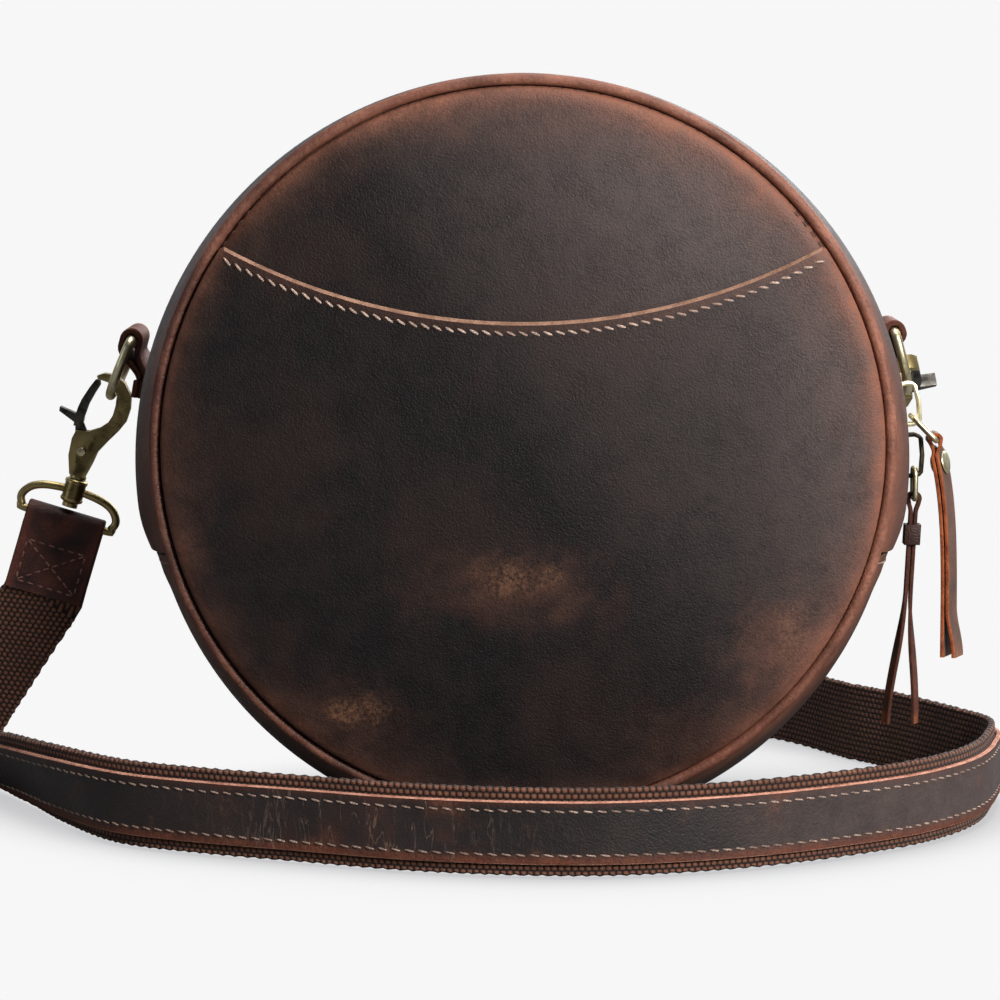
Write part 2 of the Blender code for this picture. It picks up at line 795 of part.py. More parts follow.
def ring_tab(name, angle, stand, length):
    """Leather that lies doubled on the gusset and loops round the ring's bar."""
    down = -1 if math.cos(angle) > 0 else 1
    inner_height = stand - tab_wrap
    outer_height = stand + tab_wrap
    low_inner = tab_rest
    low_outer = tab_rest + ring_tab_leather + gap
    centres = []
    broads = []

    def add(run, height, settle):
        turn = angle + down * run / zip_radius
        radial = Vector((math.cos(turn), 0, math.sin(turn)))
        centres.append(polar(turn, skin(turn, tab_depth) + height, tab_depth))
        slope = (skin(turn, tab_depth + gap) - skin(turn, tab_depth - gap)) / (2 * gap)
        broads.append((Vector((0, 1, 0)) + settle * slope * radial).normalized())

    for share in (1.0, 0.85, 0.65, 0.45, 0.3, 0.15):
        settle = smooth((share - 0.15) / 0.5)
        add(share * length, mix(inner_height, low_inner, settle), settle)
    for step in range(9):
        turn = math.pi * (1 - step / 8)
        add(-tab_wrap * math.sin(turn), stand + tab_wrap * math.cos(turn), 0)
    for share in (0.15, 0.3, 0.45, 0.65, 0.85, 1.0):
        settle = smooth((share - 0.15) / 0.5)
        add(share * length, mix(outer_height, low_outer, settle), settle)
    ribbon(name, centres, broads, ring_tab_width, ring_tab_leather, edge_leather)


def d_ring(name, angle, stand, turn):
    middle, along = ring_frame(angle, stand, turn)
    across = Vector((0, 1, 0))
    place = frame_matrix(middle, across, along, across.cross(along))
    tube(name, ring_path(), Vector((0, 0, 1)), ring_radius, pale_brass, closed=True, place=place)
    return place


ring_tab("ring_tab_left", left_ring_angle, left_ring_stand, left_tab_length)
ring_tab("ring_tab_right", right_ring_angle, right_ring_stand, right_tab_length)
left_ring_place = d_ring("d_ring_left", left_ring_angle, left_ring_stand, left_ring_turn)
right_ring_place = d_ring("d_ring_right", right_ring_angle, right_ring_stand, right_ring_turn)

# Snap hooks in local coordinates: Z runs from the swivel barrel up the hook, X across it
hook_outline_shares = (
    (-0.071, 0.126), (0.055, 0.126), (0.082, 0.246), (0.098, 0.355), (0.153, 0.464), (0.208, 0.56),
    (0.249, 0.656), (0.254, 0.765), (0.23, 0.874), (0.153, 0.962), (0.055, 1.0), (-0.027, 0.989),
    (-0.077, 0.954), (-0.063, 0.932), (0.016, 0.929), (0.077, 0.907), (0.12, 0.852), (0.134, 0.765),
    (0.134, 0.683), (0.115, 0.617), (0.06, 0.552), (-0.014, 0.503), (-0.117, 0.481), (-0.131, 0.41),
    (-0.12, 0.273))
gate_outline_shares = (
    (-0.148, 0.514), (-0.15, 0.541), (-0.29, 0.593), (-0.295, 0.628), (-0.156, 0.612), (-0.153, 0.669),
    (-0.142, 0.738), (-0.109, 0.847), (-0.079, 0.921), (-0.046, 0.921), (-0.033, 0.888), (-0.057, 0.806),
    (-0.079, 0.71), (-0.085, 0.601), (-0.077, 0.514))
root_outline_shares = (
    (-0.082, 0.306), (-0.027, 0.27), (0.025, 0.306), (0.03, 0.355), (-0.016, 0.475), (-0.079, 0.557),
    (-0.137, 0.557), (-0.134, 0.508), (-0.098, 0.383))
slot_shares = ((-0.191, 0.25), (0.06, 0.25), (0.06, 0.62), (-0.191, 0.62))
spring_shares = ((0.046, 0.262), (0.046, 0.4), (0.036, 0.48))
pin_shares = (-0.027, 0.328)
eye_shares = (0.071, 0.83)
right_eye_shares = (0.058, 0.818)


def scaled(shares, size, shift=(0, 0)):
    return [((x - shift[0]) * size, (z - shift[1]) * size) for x, z in shares]


def snap(suffix, hook_place, ring_place):
    """One snap: barrel with its oval ring, hook with its swivel post, sprung trigger and pin."""
    up = Vector((0, 0, 1))
    across = Vector((0, 1, 0))
    base = Vector((0, 0, 0))
    wire = snap_ring_wire / 2
    side = snap_ring_half_width
    drop = snap_ring_drop
    half = barrel_height / 2
    ring_shares = ((0.2, 0.0), (0.6, 0.09), (0.85, 0.28), (0.98, 0.6), (0.93, 0.88), (0.8, 1.0))
    right = [Vector((x * side, 0, -z * drop)) for x, z in ring_shares]
    left = [Vector((-point.x, 0, point.z)) for point in reversed(right)]
    ring = tube("snap_ring_" + suffix, right + left, across, wire, antique_brass, place=ring_place)
    barrel = turned("barrel_" + suffix, [(-half, barrel_diameter / 2), (half, barrel_diameter / 2)],
                    base, up, antique_brass, place=ring_place)
    bore = turned("barrel_bore_" + suffix, [(-half - overrun, swivel_shaft / 2 + gap),
                                            (half + overrun, swivel_shaft / 2 + gap)],
                  base, up, antique_brass, place=ring_place)
    combine(ring, barrel, "UNION")
    combine(ring, bore, "DIFFERENCE")

    hook_half = hook_thickness / 2
    hook = prism("snap_hook_" + suffix, scaled(hook_outline_shares, snap_length), -hook_half, hook_half,
                 antique_brass, place=hook_place)
    head = -half - gap - swivel_head_height
    post_profile = [(head, swivel_head / 2), (-half - gap, swivel_head / 2), (-half - gap, swivel_shaft / 2),
                    (half + gap, swivel_shaft / 2), (half + gap, swivel_collar / 2),
                    (half + gap + swivel_collar_height, swivel_collar / 2),
                    (hook_stand + overrun, swivel_shaft / 2)]
    post = turned("post_" + suffix, post_profile, base, up, antique_brass, place=hook_place)
    slot_half = trigger_slot / 2
    slot = prism("slot_" + suffix, scaled(slot_shares, snap_length), -slot_half, slot_half,
                 antique_brass, place=hook_place)
    pin_place = Vector((pin_shares[0] * snap_length, 0, pin_shares[1] * snap_length))
    pin_bore = turned("pin_bore_" + suffix, [(-hook_thickness, trigger_pin / 2 + gap),
                                             (hook_thickness, trigger_pin / 2 + gap)],
                      pin_place, across, antique_brass, sides=12, place=hook_place)
    combine(hook, slot, "DIFFERENCE")
    combine(hook, pin_bore, "DIFFERENCE")
    combine(hook, post, "UNION")

    trigger_place = hook_place @ Matrix.Translation(pin_place)
    trigger_half = trigger_thickness / 2
    root_half = trigger_root / 2
    gate = prism("snap_trigger_" + suffix, scaled(gate_outline_shares, snap_length, pin_shares),
                 -trigger_half, trigger_half, antique_brass, place=trigger_place)
    root = prism("root_" + suffix, scaled(root_outline_shares, snap_length, pin_shares),
                 -root_half, root_half, antique_brass, place=trigger_place)
    combine(gate, root, "UNION")
    combine(gate, pin_bore, "DIFFERENCE")

    face = hook_half + gap
    head_end = face + pin_head_height
    pin_profile = [(-head_end, pin_head / 2), (-face, pin_head / 2), (-face, trigger_pin / 2),
                   (face, trigger_pin / 2), (face, pin_head / 2), (head_end, pin_head / 2)]
    turned("trigger_pin_" + suffix, pin_profile, pin_place, across, antique_brass, sides=12, place=hook_place)
    leaf = [Vector((x, 0, z)) for x, z in scaled(spring_shares, snap_length)]
    ribbon("trigger_spring_" + suffix, leaf, [across] * len(leaf), trigger_root, spring_leaf, spring_steel,
           place=hook_place)


def snap_place(eye, shares, up, x_hint):
    """Frame of a snap that holds the ring wire at the given point, at these shares of its length."""
    x_axis = (x_hint - x_hint.dot(up) * up).normalized()
    y_axis = up.cross(x_axis)
    origin = eye - snap_length * (shares[0] * x_axis + shares[1] * up)
    return frame_matrix(origin, x_axis, y_axis, up)


left_up = Vector((0.29, 0, 0.957)).normalized()
left_eye = left_ring_place @ Vector((0, ring_length, 0))
left_snap_place = snap_place(left_eye, eye_shares, left_up, Vector((1, 0, 0)))
snap("left", left_snap_place, left_snap_place)

right_up = Vector((0.1, -0.85, 0.52)).normalized()
hook_turn = math.pi * right_hook_share / 2
right_eye_local = Vector((ring_half_width * math.cos(hook_turn),
                          ring_shoulder + (ring_length - ring_shoulder) * math.sin(hook_turn), 0))
right_eye = right_ring_place @ right_eye_local
right_hook_place = snap_place(right_eye, right_eye_shares, right_up, Vector((-0.946, -0.24, 0)))
up_hint = Vector((0, 0, 1))
right_x = (up_hint - up_hint.dot(right_up) * right_up).normalized()
right_snap_place = frame_matrix(right_hook_place.translation, right_x, right_up.cross(right_x), right_up)
snap("right", right_hook_place, right_snap_place)


# Strap: leather tabs round the snap rings, webbing between them and leather along its outer face
def strap_end(place):
    """Ring bar, direction down the strap and width direction at a snap."""
    bar = place @ Vector((0, 0, -snap_ring_drop))
    rotation = place.to_3x3()
    return bar, rotation @ Vector((0, 0, -1)), rotation @ Vector((1, 0, 0))


strap_wrap = snap_ring_wire / 2 + gap + strap_tab_leather / 2
strap_layer = strap_webbing_thickness / 2 + gap + strap_tab_leather / 2


def strap_tab(name, bar, down, across):
    face = across.cross(down)
    centres = []
    for share in (1.0, 0.6, 0.3, 0.12):
        height = mix(strap_wrap, strap_layer, smooth(share / 0.3))
        centres.append(bar + share * strap_tab_length * down - height * face)
    for step in range(9):
        turn = math.pi * (1 - step / 8)
        centres.append(bar + strap_wrap * (math.cos(turn) * face - math.sin(turn) * down))
    for share in (0.12, 0.3, 0.6, 1.0):
        height = mix(strap_wrap, strap_layer, smooth(share / 0.3))
        centres.append(bar + share * strap_tab_length * down + height * face)
    ribbon(name, centres, [across] * len(centres), strap_tab_width, strap_tab_leather, edge_leather)


left_bar, left_down, left_across = strap_end(left_snap_place)
right_bar, right_down, right_across = strap_end(right_snap_place)
strap_tab("strap_tab_left", left_bar, left_down, left_across)
strap_tab("strap_tab_right", right_bar, right_down, right_across)

# Route of the strap between the tabs: middle and direction of its width, as shares of its reach
strap_route_shares = (
    ((-0.882, 0.171, 0.271), (-0.92, 0.0, 0.4)),
    ((-0.929, 0.206, 0.2), (-0.86, 0.0, 0.5)),
    ((-0.971, 0.224, 0.135), (-0.78, -0.05, 0.62)),
    ((-0.988, 0.188, 0.094), (-0.68, -0.1, 0.73)),
    ((-0.965, 0.112, 0.073), (-0.58, -0.1, 0.81)),
    ((-0.912, 0.024, 0.0675), (-0.5, -0.1, 0.86)),
    ((-0.853, -0.071, 0.0692), (-0.38, -0.08, 0.92)),
    ((-0.768, -0.221, 0.0715), (-0.2, -0.04, 0.98)),
    ((-0.653, -0.371, 0.0712), (0.0, 0.0, 1.0)),
    ((-0.512, -0.453, 0.0712), (0.0, 0.0, 1.0)),
    ((-0.353, -0.518, 0.0712), (0.0, 0.0, 1.0)),
    ((-0.194, -0.582, 0.0712), (0.0, 0.0, 1.0)),
    ((-0.035, -0.618, 0.0712), (0.0, 0.0, 1.0)),
    ((0.118, -0.626, 0.0712), (0.0, 0.0, 1.0)),
    ((0.271, -0.594, 0.0712), (0.0, 0.0, 1.0)),
    ((0.432, -0.524, 0.0712), (0.0, 0.0, 1.0)),
    ((0.6, -0.412, 0.0712), (0.0, 0.0, 1.0)),
    ((0.694, -0.312, 0.0712), (0.0, 0.0, 1.0)),
    ((0.753, -0.209, 0.0712), (0.0, 0.0, 1.0)),
    ((0.788, -0.094, 0.0712), (0.0, 0.0, 1.0)),
    ((0.806, 0.029, 0.0712), (0.0, 0.0, 1.0)),
    ((0.759, 0.141, 0.0712), (0.0, 0.0, 1.0)),
    ((0.676, 0.294, 0.0712), (0.0, 0.0, 1.0)),
    ((0.597, 0.406, 0.0712), (0.0, 0.0, 1.0)),
    ((0.482, 0.606, 0.0712), (0.0, 0.0, 1.0)),
    ((0.294, 0.765, 0.0712), (0.0, 0.0, 1.0)),
    ((0.059, 0.841, 0.0712), (0.0, 0.0, 1.0)),
    ((-0.147, 0.8, 0.0712), (0.0, 0.0, 1.0)),
    ((-0.224, 0.682, 0.073), (0.0, 0.0, 1.0)),
    ((-0.129, 0.576, 0.088), (0.0, 0.0, 1.0)),
    ((0.059, 0.556, 0.125), (-0.1, 0.0, 1.0)),
    ((0.265, 0.58, 0.212), (-0.25, 0.0, 0.95)),
    ((0.459, 0.624, 0.33), (-0.35, 0.0, 0.9)),
    ((0.6, 0.622, 0.45), (-0.25, 0.35, 0.9)))
plain_steps = 2
twist_step = math.radians(3)
tab_inset = 0.0035
left_start = left_bar + tab_inset * left_down
right_start = right_bar + tab_inset * right_down
leave_length = strap_tab_length + running_gap
left_leave = left_bar + leave_length * left_down
right_leave = right_bar + leave_length * right_down
middles = [Vector(point) * strap_reach for point, broad in strap_route_shares]
broads = [Vector(broad) for point, broad in strap_route_shares]
middles = [left_leave] + middles + [right_leave]
broads = [-left_across] + broads + [right_across]
route_steps = []
for here, there in zip(broads, broads[1:]):
    route_steps.append(max(plain_steps, math.ceil(here.angle(there) / twist_step)))
strap_path = [left_start] + spline(middles, route_steps) + [right_start]
strap_broads = [-left_across] + spline(broads, route_steps) + [right_across]
ribbon("strap_webbing", strap_path, strap_broads, strap_width, strap_webbing_thickness, webbing)

leather_offset = strap_webbing_thickness / 2 + running_gap + strap_leather_thickness / 2
ribbon("strap_leather", strap_path[3:-3], strap_broads[3:-3], strap_leather_width, strap_leather_thickness,
       dark_leather, offset=leather_offset)
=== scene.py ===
"""Looks of the round crossbody bag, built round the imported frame. Metres, +Z up, -Y is the front."""
from math import asin, atan2, ceil, cos, hypot, pi, radians, sin, sqrt, tau

import bmesh
import bpy
import numpy as np
from mathutils import Matrix, Vector, noise


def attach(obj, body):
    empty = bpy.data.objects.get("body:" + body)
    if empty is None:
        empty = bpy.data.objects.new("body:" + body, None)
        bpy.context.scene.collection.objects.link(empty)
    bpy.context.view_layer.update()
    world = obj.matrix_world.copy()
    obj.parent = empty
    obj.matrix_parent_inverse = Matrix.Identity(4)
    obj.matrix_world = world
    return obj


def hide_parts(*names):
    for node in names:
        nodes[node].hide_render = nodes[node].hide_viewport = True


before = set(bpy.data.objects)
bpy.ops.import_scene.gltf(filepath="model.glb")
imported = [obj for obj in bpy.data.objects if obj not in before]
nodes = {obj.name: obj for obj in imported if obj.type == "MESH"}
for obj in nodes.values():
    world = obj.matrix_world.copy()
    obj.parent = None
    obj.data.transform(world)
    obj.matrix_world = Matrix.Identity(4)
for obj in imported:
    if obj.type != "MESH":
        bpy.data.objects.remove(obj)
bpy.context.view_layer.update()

# Sizes. They are the frame's, apart from the flanks, the laps, the pull's leather and the right
# tab's length, which differ from it here and follow the photograph or clear a neighbour.
gap, running_gap = 0.0003, 0.0005
zip_radius, zip_axis_height = 0.1114, 0.1003
panel_axis_height, panel_radius, base_radius = 0.107, 0.1012, 0.1074
seam_depth, rim_thickness = 0.0359, 0.0032
gusset_leather, strip_leather, lip_leather, lip_width = 0.0019, 0.0018, 0.0015, 0.0075
panel_leather, skived_leather, panel_edge_depth, panel_crown = 0.0018, 0.001, 0.04, 0.004
gusset_fullness, flank_angle, base_blend_angle = 2.6, radians(-6.5), radians(14)
pocket_mouth_radius, pocket_mouth_height = 0.177, 0.1431
lining_cloth, lining_turn_in = 0.0006, 0.0022
zip_end_angle, lap_angle = radians(-19), radians(-13.5)
lap_start_angle, lapped_angle = radians(-12.7), radians(-13.45)
strip_edge, tape_edge, tape_width, tape_cloth = 0.0065, 0.0015, 0.0135, 0.0008
row_height, tooth_pitch, stop_angle_below = 0.0028, 0.0027, radians(8.3)
arch_thickness, arch_rise, arch_span = 0.0012, 0.0048, 0.0118
second_slider_angle = radians(0.7)
main_slider_angle = second_slider_angle + (0.0136 + 0.0012) / zip_radius
link_wire, link_drop, link_half_width = 0.0016, 0.0091, 0.0062
main_link_angle = radians(44.5)
second_link_drop, second_link_half_width, link_seat_share = 0.0086, 0.0034, 0.66
pull_width, pull_leather_thickness, pull_length, pull_lean = 0.008, 0.0011, 0.0634, 0.0048
pull_split_length, pull_split, pull_yaw, pull_rivet_drop = 0.049, 0.0021, radians(25), 0.0069
rivet_head, rivet_back, rivet_shank = 0.0066, 0.0052, 0.0024
thong_width, thong_leather, thong_length, thong_spread, thong_inset = 0.003, 0.0011, 0.0661, 0.0035, 0.0033
collar_drop, thong_turn = 0.0075, radians(34)
tab_depth, ring_tab_width, ring_tab_leather = 0.024, 0.023, 0.0017
ring_wire, ring_half_width, ring_length, ring_shoulder, ring_corner = 0.0028, 0.014, 0.0185, 0.006, 0.0025
right_ring_angle, right_ring_stand, right_ring_turn, right_tab_length = radians(18.4), 0.0052, radians(-74.5), 0.0072
left_ring_angle, left_ring_stand, left_ring_turn, left_tab_length = radians(163.5), 0.0096, radians(-113), 0.0155
right_hook_share = 0.42
snap_length, snap_ring_wire, snap_ring_half_width, snap_ring_drop = 0.0366, 0.0024, 0.0148, 0.009
barrel_diameter, barrel_height, swivel_shaft = 0.0068, 0.007, 0.0026
strap_width, strap_webbing_thickness = 0.024, 0.002
strap_leather_width, strap_leather_thickness = 0.017, 0.0015
strap_tab_leather, strap_tab_width, strap_tab_length = 0.0016, 0.0235, 0.0235

axis_rise = panel_axis_height - zip_axis_height
rim_radius = panel_radius + gap + rim_thickness / 2
rim_depth = seam_depth + gap + rim_thickness / 2
gusset_edge_radius = panel_radius + rim_thickness - gap
row_middle = strip_leather + gap + tape_cloth / 2
lap_drop = gusset_leather + 2 * gap
ring_radius, link_radius = ring_wire / 2, link_wire / 2
link_seat = arch_rise - arch_thickness - running_gap - link_radius
both_sides = (("front", -1), ("back", 1))


def smooth(share):
    share = np.clip(share, 0, 1)
    return share * share * (3 - 2 * share)


def mix(first, last, share):
    return first + (last - first) * share


def vec(*numbers):
    return Vector(numbers)


def rgb(red, green, blue):
    """Linear colour of an 8-bit sRGB one."""
    out = []
    for value in (red, green, blue):
        value /= 255
        out.append(value / 12.92 if value <= 0.04045 else ((value + 0.055) / 1.055) ** 2.4)
    return (*out, 1)


# ---------------------------------------------------------------- node helpers and materials
class Tree:
    """Short names for the nodes that a material or the world is made of."""

    def __init__(self, tree):
        self.tree = tree
        self.shader = tree.nodes.get("Principled BSDF")

    def put(self, socket, value):
        if isinstance(value, bpy.types.NodeSocket):
            self.tree.links.new(value, socket)
        else:
            socket.default_value = value

    def node(self, kind, inputs=None, **settings):
        made = self.tree.nodes.new("ShaderNode" + kind)
        for key, value in settings.items():
            setattr(made, key, value)
        for key, value in (inputs or {}).items():
            self.put(made.inputs[key], value)
        return made

    def coords(self, which="Object"):
        return self.node("TexCoord").outputs[which]

    def squeezed(self, vector, scale):
        return self.node("Mapping", {"Vector": vector, "Scale": scale}).outputs[0]

    def noise(self, vector, scale, detail, rough, distortion=0.0):
        return self.node("TexNoise", {"Vector": vector, "Scale": scale, "Detail": detail, "Roughness": rough,
                                      "Distortion": distortion}).outputs["Fac"]

    def attribute(self, name):
        return self.node("Attribute", attribute_name=name).outputs["Fac"]

    def math(self, operation, *values, clamp=False):
        return self.node("Math", dict(enumerate(values)), operation=operation, use_clamp=clamp).outputs[0]

    def times(self, first, last, clamp=False):
        return self.math("MULTIPLY", first, last, clamp=clamp)

    def sum(self, first, weight, last, other_weight):
        return self.math("ADD", self.times(first, weight), self.times(last, other_weight))

    def span(self, value, low, high, to_low=0.0, to_high=1.0):
        return self.node("MapRange", {"Value": value, 1: low, 2: high, 3: to_low, 4: to_high},
                         interpolation_type="SMOOTHSTEP").outputs[0]

    def blend(self, share, first, last):
        return self.node("Mix", {0: share, 6: first, 7: last}, data_type="RGBA", clamp_factor=True).outputs[2]

    def bump(self, height, distance, strength, after=None):
        made = self.node("Bump", {"Distance": distance, "Strength": strength, "Height": height})
        if after is not None:
            self.put(made.inputs["Normal"], after)
        return made.outputs[0]

    def split(self, vector):
        return self.node("SeparateXYZ", {0: vector}).outputs

    def seen_or_lit(self, lit, seen):
        """One shader for what the camera sees, another for the light that it gives."""
        path, mixer = self.node("LightPath"), self.node("MixShader")
        for socket, value in zip(mixer.inputs, (path.outputs["Is Camera Ray"], lit.outputs[0], seen.outputs[0])):
            self.put(socket, value)
        return mixer.outputs[0]

    def finish(self, colour, roughness, normal, **constants):
        for key, value in {"Base_Color": colour, "Roughness": roughness, "Normal": normal, **constants}.items():
            self.put(self.shader.inputs[key.replace("_", " ")], value)


finishes = {}  # the materials made here, since the frame has some of its own under the same names


def material(name):
    made = finishes[name] = bpy.data.materials.new(name)
    made.use_nodes = True
    return Tree(made.node_tree)


def hide_leather(name, *shades, shine=0.3, cracked=False):
    """Waxed leather: dark body, browner clouds, a pale painted sheen, red rubbed colour that is partly painted
    highlight, and tan scuffs where the mesh says so.
    """
    dark, brown, red, tan = [rgb(*shade) for shade in shades]
    t = material(name)
    where = t.coords("UV" if cracked else "Object")
    clouds = t.noise(where, 24, 4, 0.55, 0.4)
    mottle = t.noise(where, 120, 5, 0.62, 0.2)
    fibres = t.noise(where, 900, 4, 0.62)
    pores = t.node("TexVoronoi", {"Vector": where, "Scale": 1700}).outputs["Distance"]
    wear, scuff, haze = [t.attribute(key) for key in ("wear", "scuff", "haze")]
    body = t.blend(t.span(clouds, 0.42, 0.7), dark, brown)
    body = t.blend(t.times(t.span(mottle, 0.45, 0.72), 0.3), body, brown)
    patchiness = t.sum(mottle, 0.5, fibres, 0.5)
    # Painted sheen: a pale grey-brown (94, 81, 79) laid over the colour by the mesh's sheen share, which the marks
    # raise towards the key lamp; its patchy rest is wax bloom.
    with_painted_sheen = t.blend(t.times(haze, t.span(patchiness, 0.3, 0.7, 0.5, 0.95)), body, rgb(94, 81, 79))
    # The red rubbed colour follows a share that is real edge rubbing and, where the marks weight the top and right,
    # painted highlight.
    worn_and_highlit = t.times(wear, t.span(patchiness, 0.3, 0.7, 0.6, 1.25), clamp=True)
    colour = t.blend(worn_and_highlit, with_painted_sheen, red)
    speck = t.times(scuff, t.span(t.sum(fibres, 0.6, mottle, 0.4), 0.4, 0.7))
    colour = t.blend(speck, colour, tan)
    rough = t.span(t.sum(mottle, 0.5, fibres, 0.5), 0.3, 0.7, 0.42, 0.62)
    rough = t.math("ADD", rough, t.times(worn_and_highlit, 0.12))
    height = t.sum(pores, 0.55, fibres, 0.45)
    if cracked:
        lines = t.noise(t.squeezed(where, (0.2, 1, 1)), 190, 3, 0.6, 0.25)
        thin = t.span(t.math("ABSOLUTE", t.math("SUBTRACT", lines, 0.5)), 0.0, 0.016, 1.0, 0.0)
        thin = t.times(thin, t.times(t.attribute("crack"), t.span(mottle, 0.35, 0.6)))
        colour = t.blend(t.times(thin, 0.65), colour, rgb(120, 96, 84))
        height = t.math("SUBTRACT", height, t.times(thin, 0.5))
    normal = t.bump(mottle, 0.0008, 0.2, t.bump(height, 0.00024, 0.7))
    t.finish(colour, rough, normal, Specular_IOR_Level=shine)


def cut_leather(name, first, last):
    t = material(name)
    where = t.coords()
    fine = t.noise(where, 1400, 4, 0.65)
    wide = t.noise(where, 180, 3, 0.6)
    colour = t.blend(t.span(t.sum(fine, 0.5, wide, 0.5), 0.35, 0.65), rgb(*first), rgb(*last))
    t.finish(colour, 0.85, t.bump(fine, 0.0004, 0.6), Specular_IOR_Level=0.25)


def woven(name, low, high, pitch_across, pitch_along, depth):
    """Thick threads over and under, seen as rounded bumps in brick order, painted darker in the valleys as shade and
    lighter on the crowns as highlight.
    """
    t = material(name)
    parts = t.split(t.coords("UV"))
    across = t.math("DIVIDE", parts[0], pitch_across)
    along = t.math("DIVIDE", parts[1], pitch_along)
    odd = t.times(t.math("MODULO", t.math("ABSOLUTE", t.math("FLOOR", across)), 2.0), 0.5)
    along = t.math("ADD", along, odd)
    one, two = [t.math("SINE", t.times(t.math("FRACT", way), pi)) for way in (across, along)]
    bumps = t.math("POWER", t.times(one, two), 0.6)
    strand = t.noise(t.squeezed(t.coords("UV"), (1, 0.25, 1)), 5200, 2, 0.6)
    patch = t.noise(t.coords(), 60, 4, 0.6)
    height = t.math("ADD", bumps, t.times(strand, 0.3))
    # Painted shade and highlight: the colour runs from low in the valleys to high on the bump crowns, varied by a
    # patchy tone.
    share = t.times(t.span(height, 0.35, 1.2), t.span(patch, 0.3, 0.7, 0.65, 1.0))
    t.finish(t.blend(share, rgb(*low), rgb(*high)), 0.82, t.bump(height, depth, 0.9), Specular_IOR_Level=0.3,
             Sheen_Weight=0.08)


def metal(name, bright, dark, low, high, age, worn_and_highlit=False):
    """Plated metal, browner in patches where its lacquer has aged; if asked, darker in its hollows and bright on its
    edges, which is partly rubbed metal and partly painted highlight.
    """
    t, bright, dark = material(name), rgb(*bright), rgb(*dark)
    where = t.coords()
    patches = t.noise(where, 260, 4, 0.65, 0.5)
    fine = t.noise(where, 2600, 3, 0.6)
    colour = t.blend(t.times(t.span(patches, 0.42, 0.66), age), bright, dark)
    if worn_and_highlit:
        edges = t.node("NewGeometry").outputs["Pointiness"]
        colour = t.blend(t.span(edges, 0.44, 0.5, 0.7, 0.0), colour, dark)
        # Bright on convex edges: partly rubbed metal, partly painted highlight.
        colour = t.blend(t.span(edges, 0.51, 0.56, 0.0, 0.8), colour, bright)
    rough = t.span(t.sum(patches, 0.5, fine, 0.5), 0.3, 0.7, low, high)
    t.finish(colour, rough, t.bump(fine, 0.00004, 0.4), Metallic=1.0)


def thread(name, first, last):
    t = material(name)
    twist = t.noise(t.coords(), 2400, 2, 0.5)
    patch = t.noise(t.coords(), 70, 3, 0.6)
    share = t.times(t.span(twist, 0.3, 0.7), t.span(patch, 0.35, 0.65, 0.3, 1.0))
    t.finish(t.blend(share, rgb(*first), rgb(*last)), 0.7, t.bump(twist, 0.0001, 0.6), Specular_IOR_Level=0.3)


hide_leather("body_leather", (16, 13, 13), (33, 22, 19), (136, 88, 70), (156, 110, 78), shine=0.24)
hide_leather("rim_leather", (56, 27, 20), (84, 42, 31), (150, 96, 76), (176, 128, 102), shine=0.4)
hide_leather("strap_hide", (32, 28, 27), (46, 35, 32), (96, 48, 32), (146, 98, 72), cracked=True)
hide_leather("tab_hide", (36, 17, 14), (54, 24, 19), (102, 48, 35), (134, 82, 58), shine=0.4)
hide_leather("loop_hide", (76, 33, 21), (100, 46, 30), (146, 76, 50), (164, 106, 74))
hide_leather("pull_hide", (80, 60, 52), (98, 74, 64), (122, 84, 66), (150, 112, 88))
hide_leather("thong_hide", (58, 32, 24), (80, 44, 32), (120, 62, 40), (150, 96, 66))
hide_leather("collar_hide", (40, 18, 13), (58, 28, 20), (96, 48, 34), (120, 70, 50))
cut_leather("pale_cut", (120, 88, 71), (168, 130, 108))
cut_leather("pink_cut", (150, 98, 80), (206, 152, 130))
cut_leather("dark_cut", (62, 34, 26), (92, 54, 40))
cut_leather("orange_cut", (120, 56, 28), (176, 96, 56))
woven("webbing", (28, 13, 9), (132, 88, 68), 0.0016, 0.0018, 0.0006)
woven("tape_weave", (20, 15, 13), (46, 36, 31), 0.0007, 0.0008, 0.00015)
woven("lining_weave", (86, 72, 58), (124, 106, 88), 0.0005, 0.0006, 0.0001)
metal("pale_brass_plate", (236, 226, 188), (176, 160, 112), 0.3, 0.45, 0.5)
metal("antique_brass_plate", (186, 166, 114), (74, 60, 38), 0.3, 0.46, 0.75, worn_and_highlit=True)
metal("blackened_brass", (72, 64, 54), (24, 20, 17), 0.3, 0.5, 0.9)
metal("dull_nickel_plate", (104, 101, 95), (40, 38, 35), 0.32, 0.46, 0.8)
metal("spring_steel_plate", (200, 200, 204), (140, 138, 134), 0.2, 0.35, 0.5)
thread("pale_thread", (132, 104, 92), (214, 190, 174))
thread("dark_thread", (40, 22, 16), (84, 52, 40))
thread("strap_thread", (104, 80, 70), (196, 172, 156))
thread("tab_thread", (96, 58, 50), (168, 126, 116))


# ---------------------------------------------------------------- mesh helpers
def add_object(name, data):
    made = bpy.data.objects.new(name, data)
    bpy.context.scene.collection.objects.link(made)
    return made


def place_piece(made, replaced, body):
    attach(made, body)
    if replaced:
        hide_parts(*replaced)


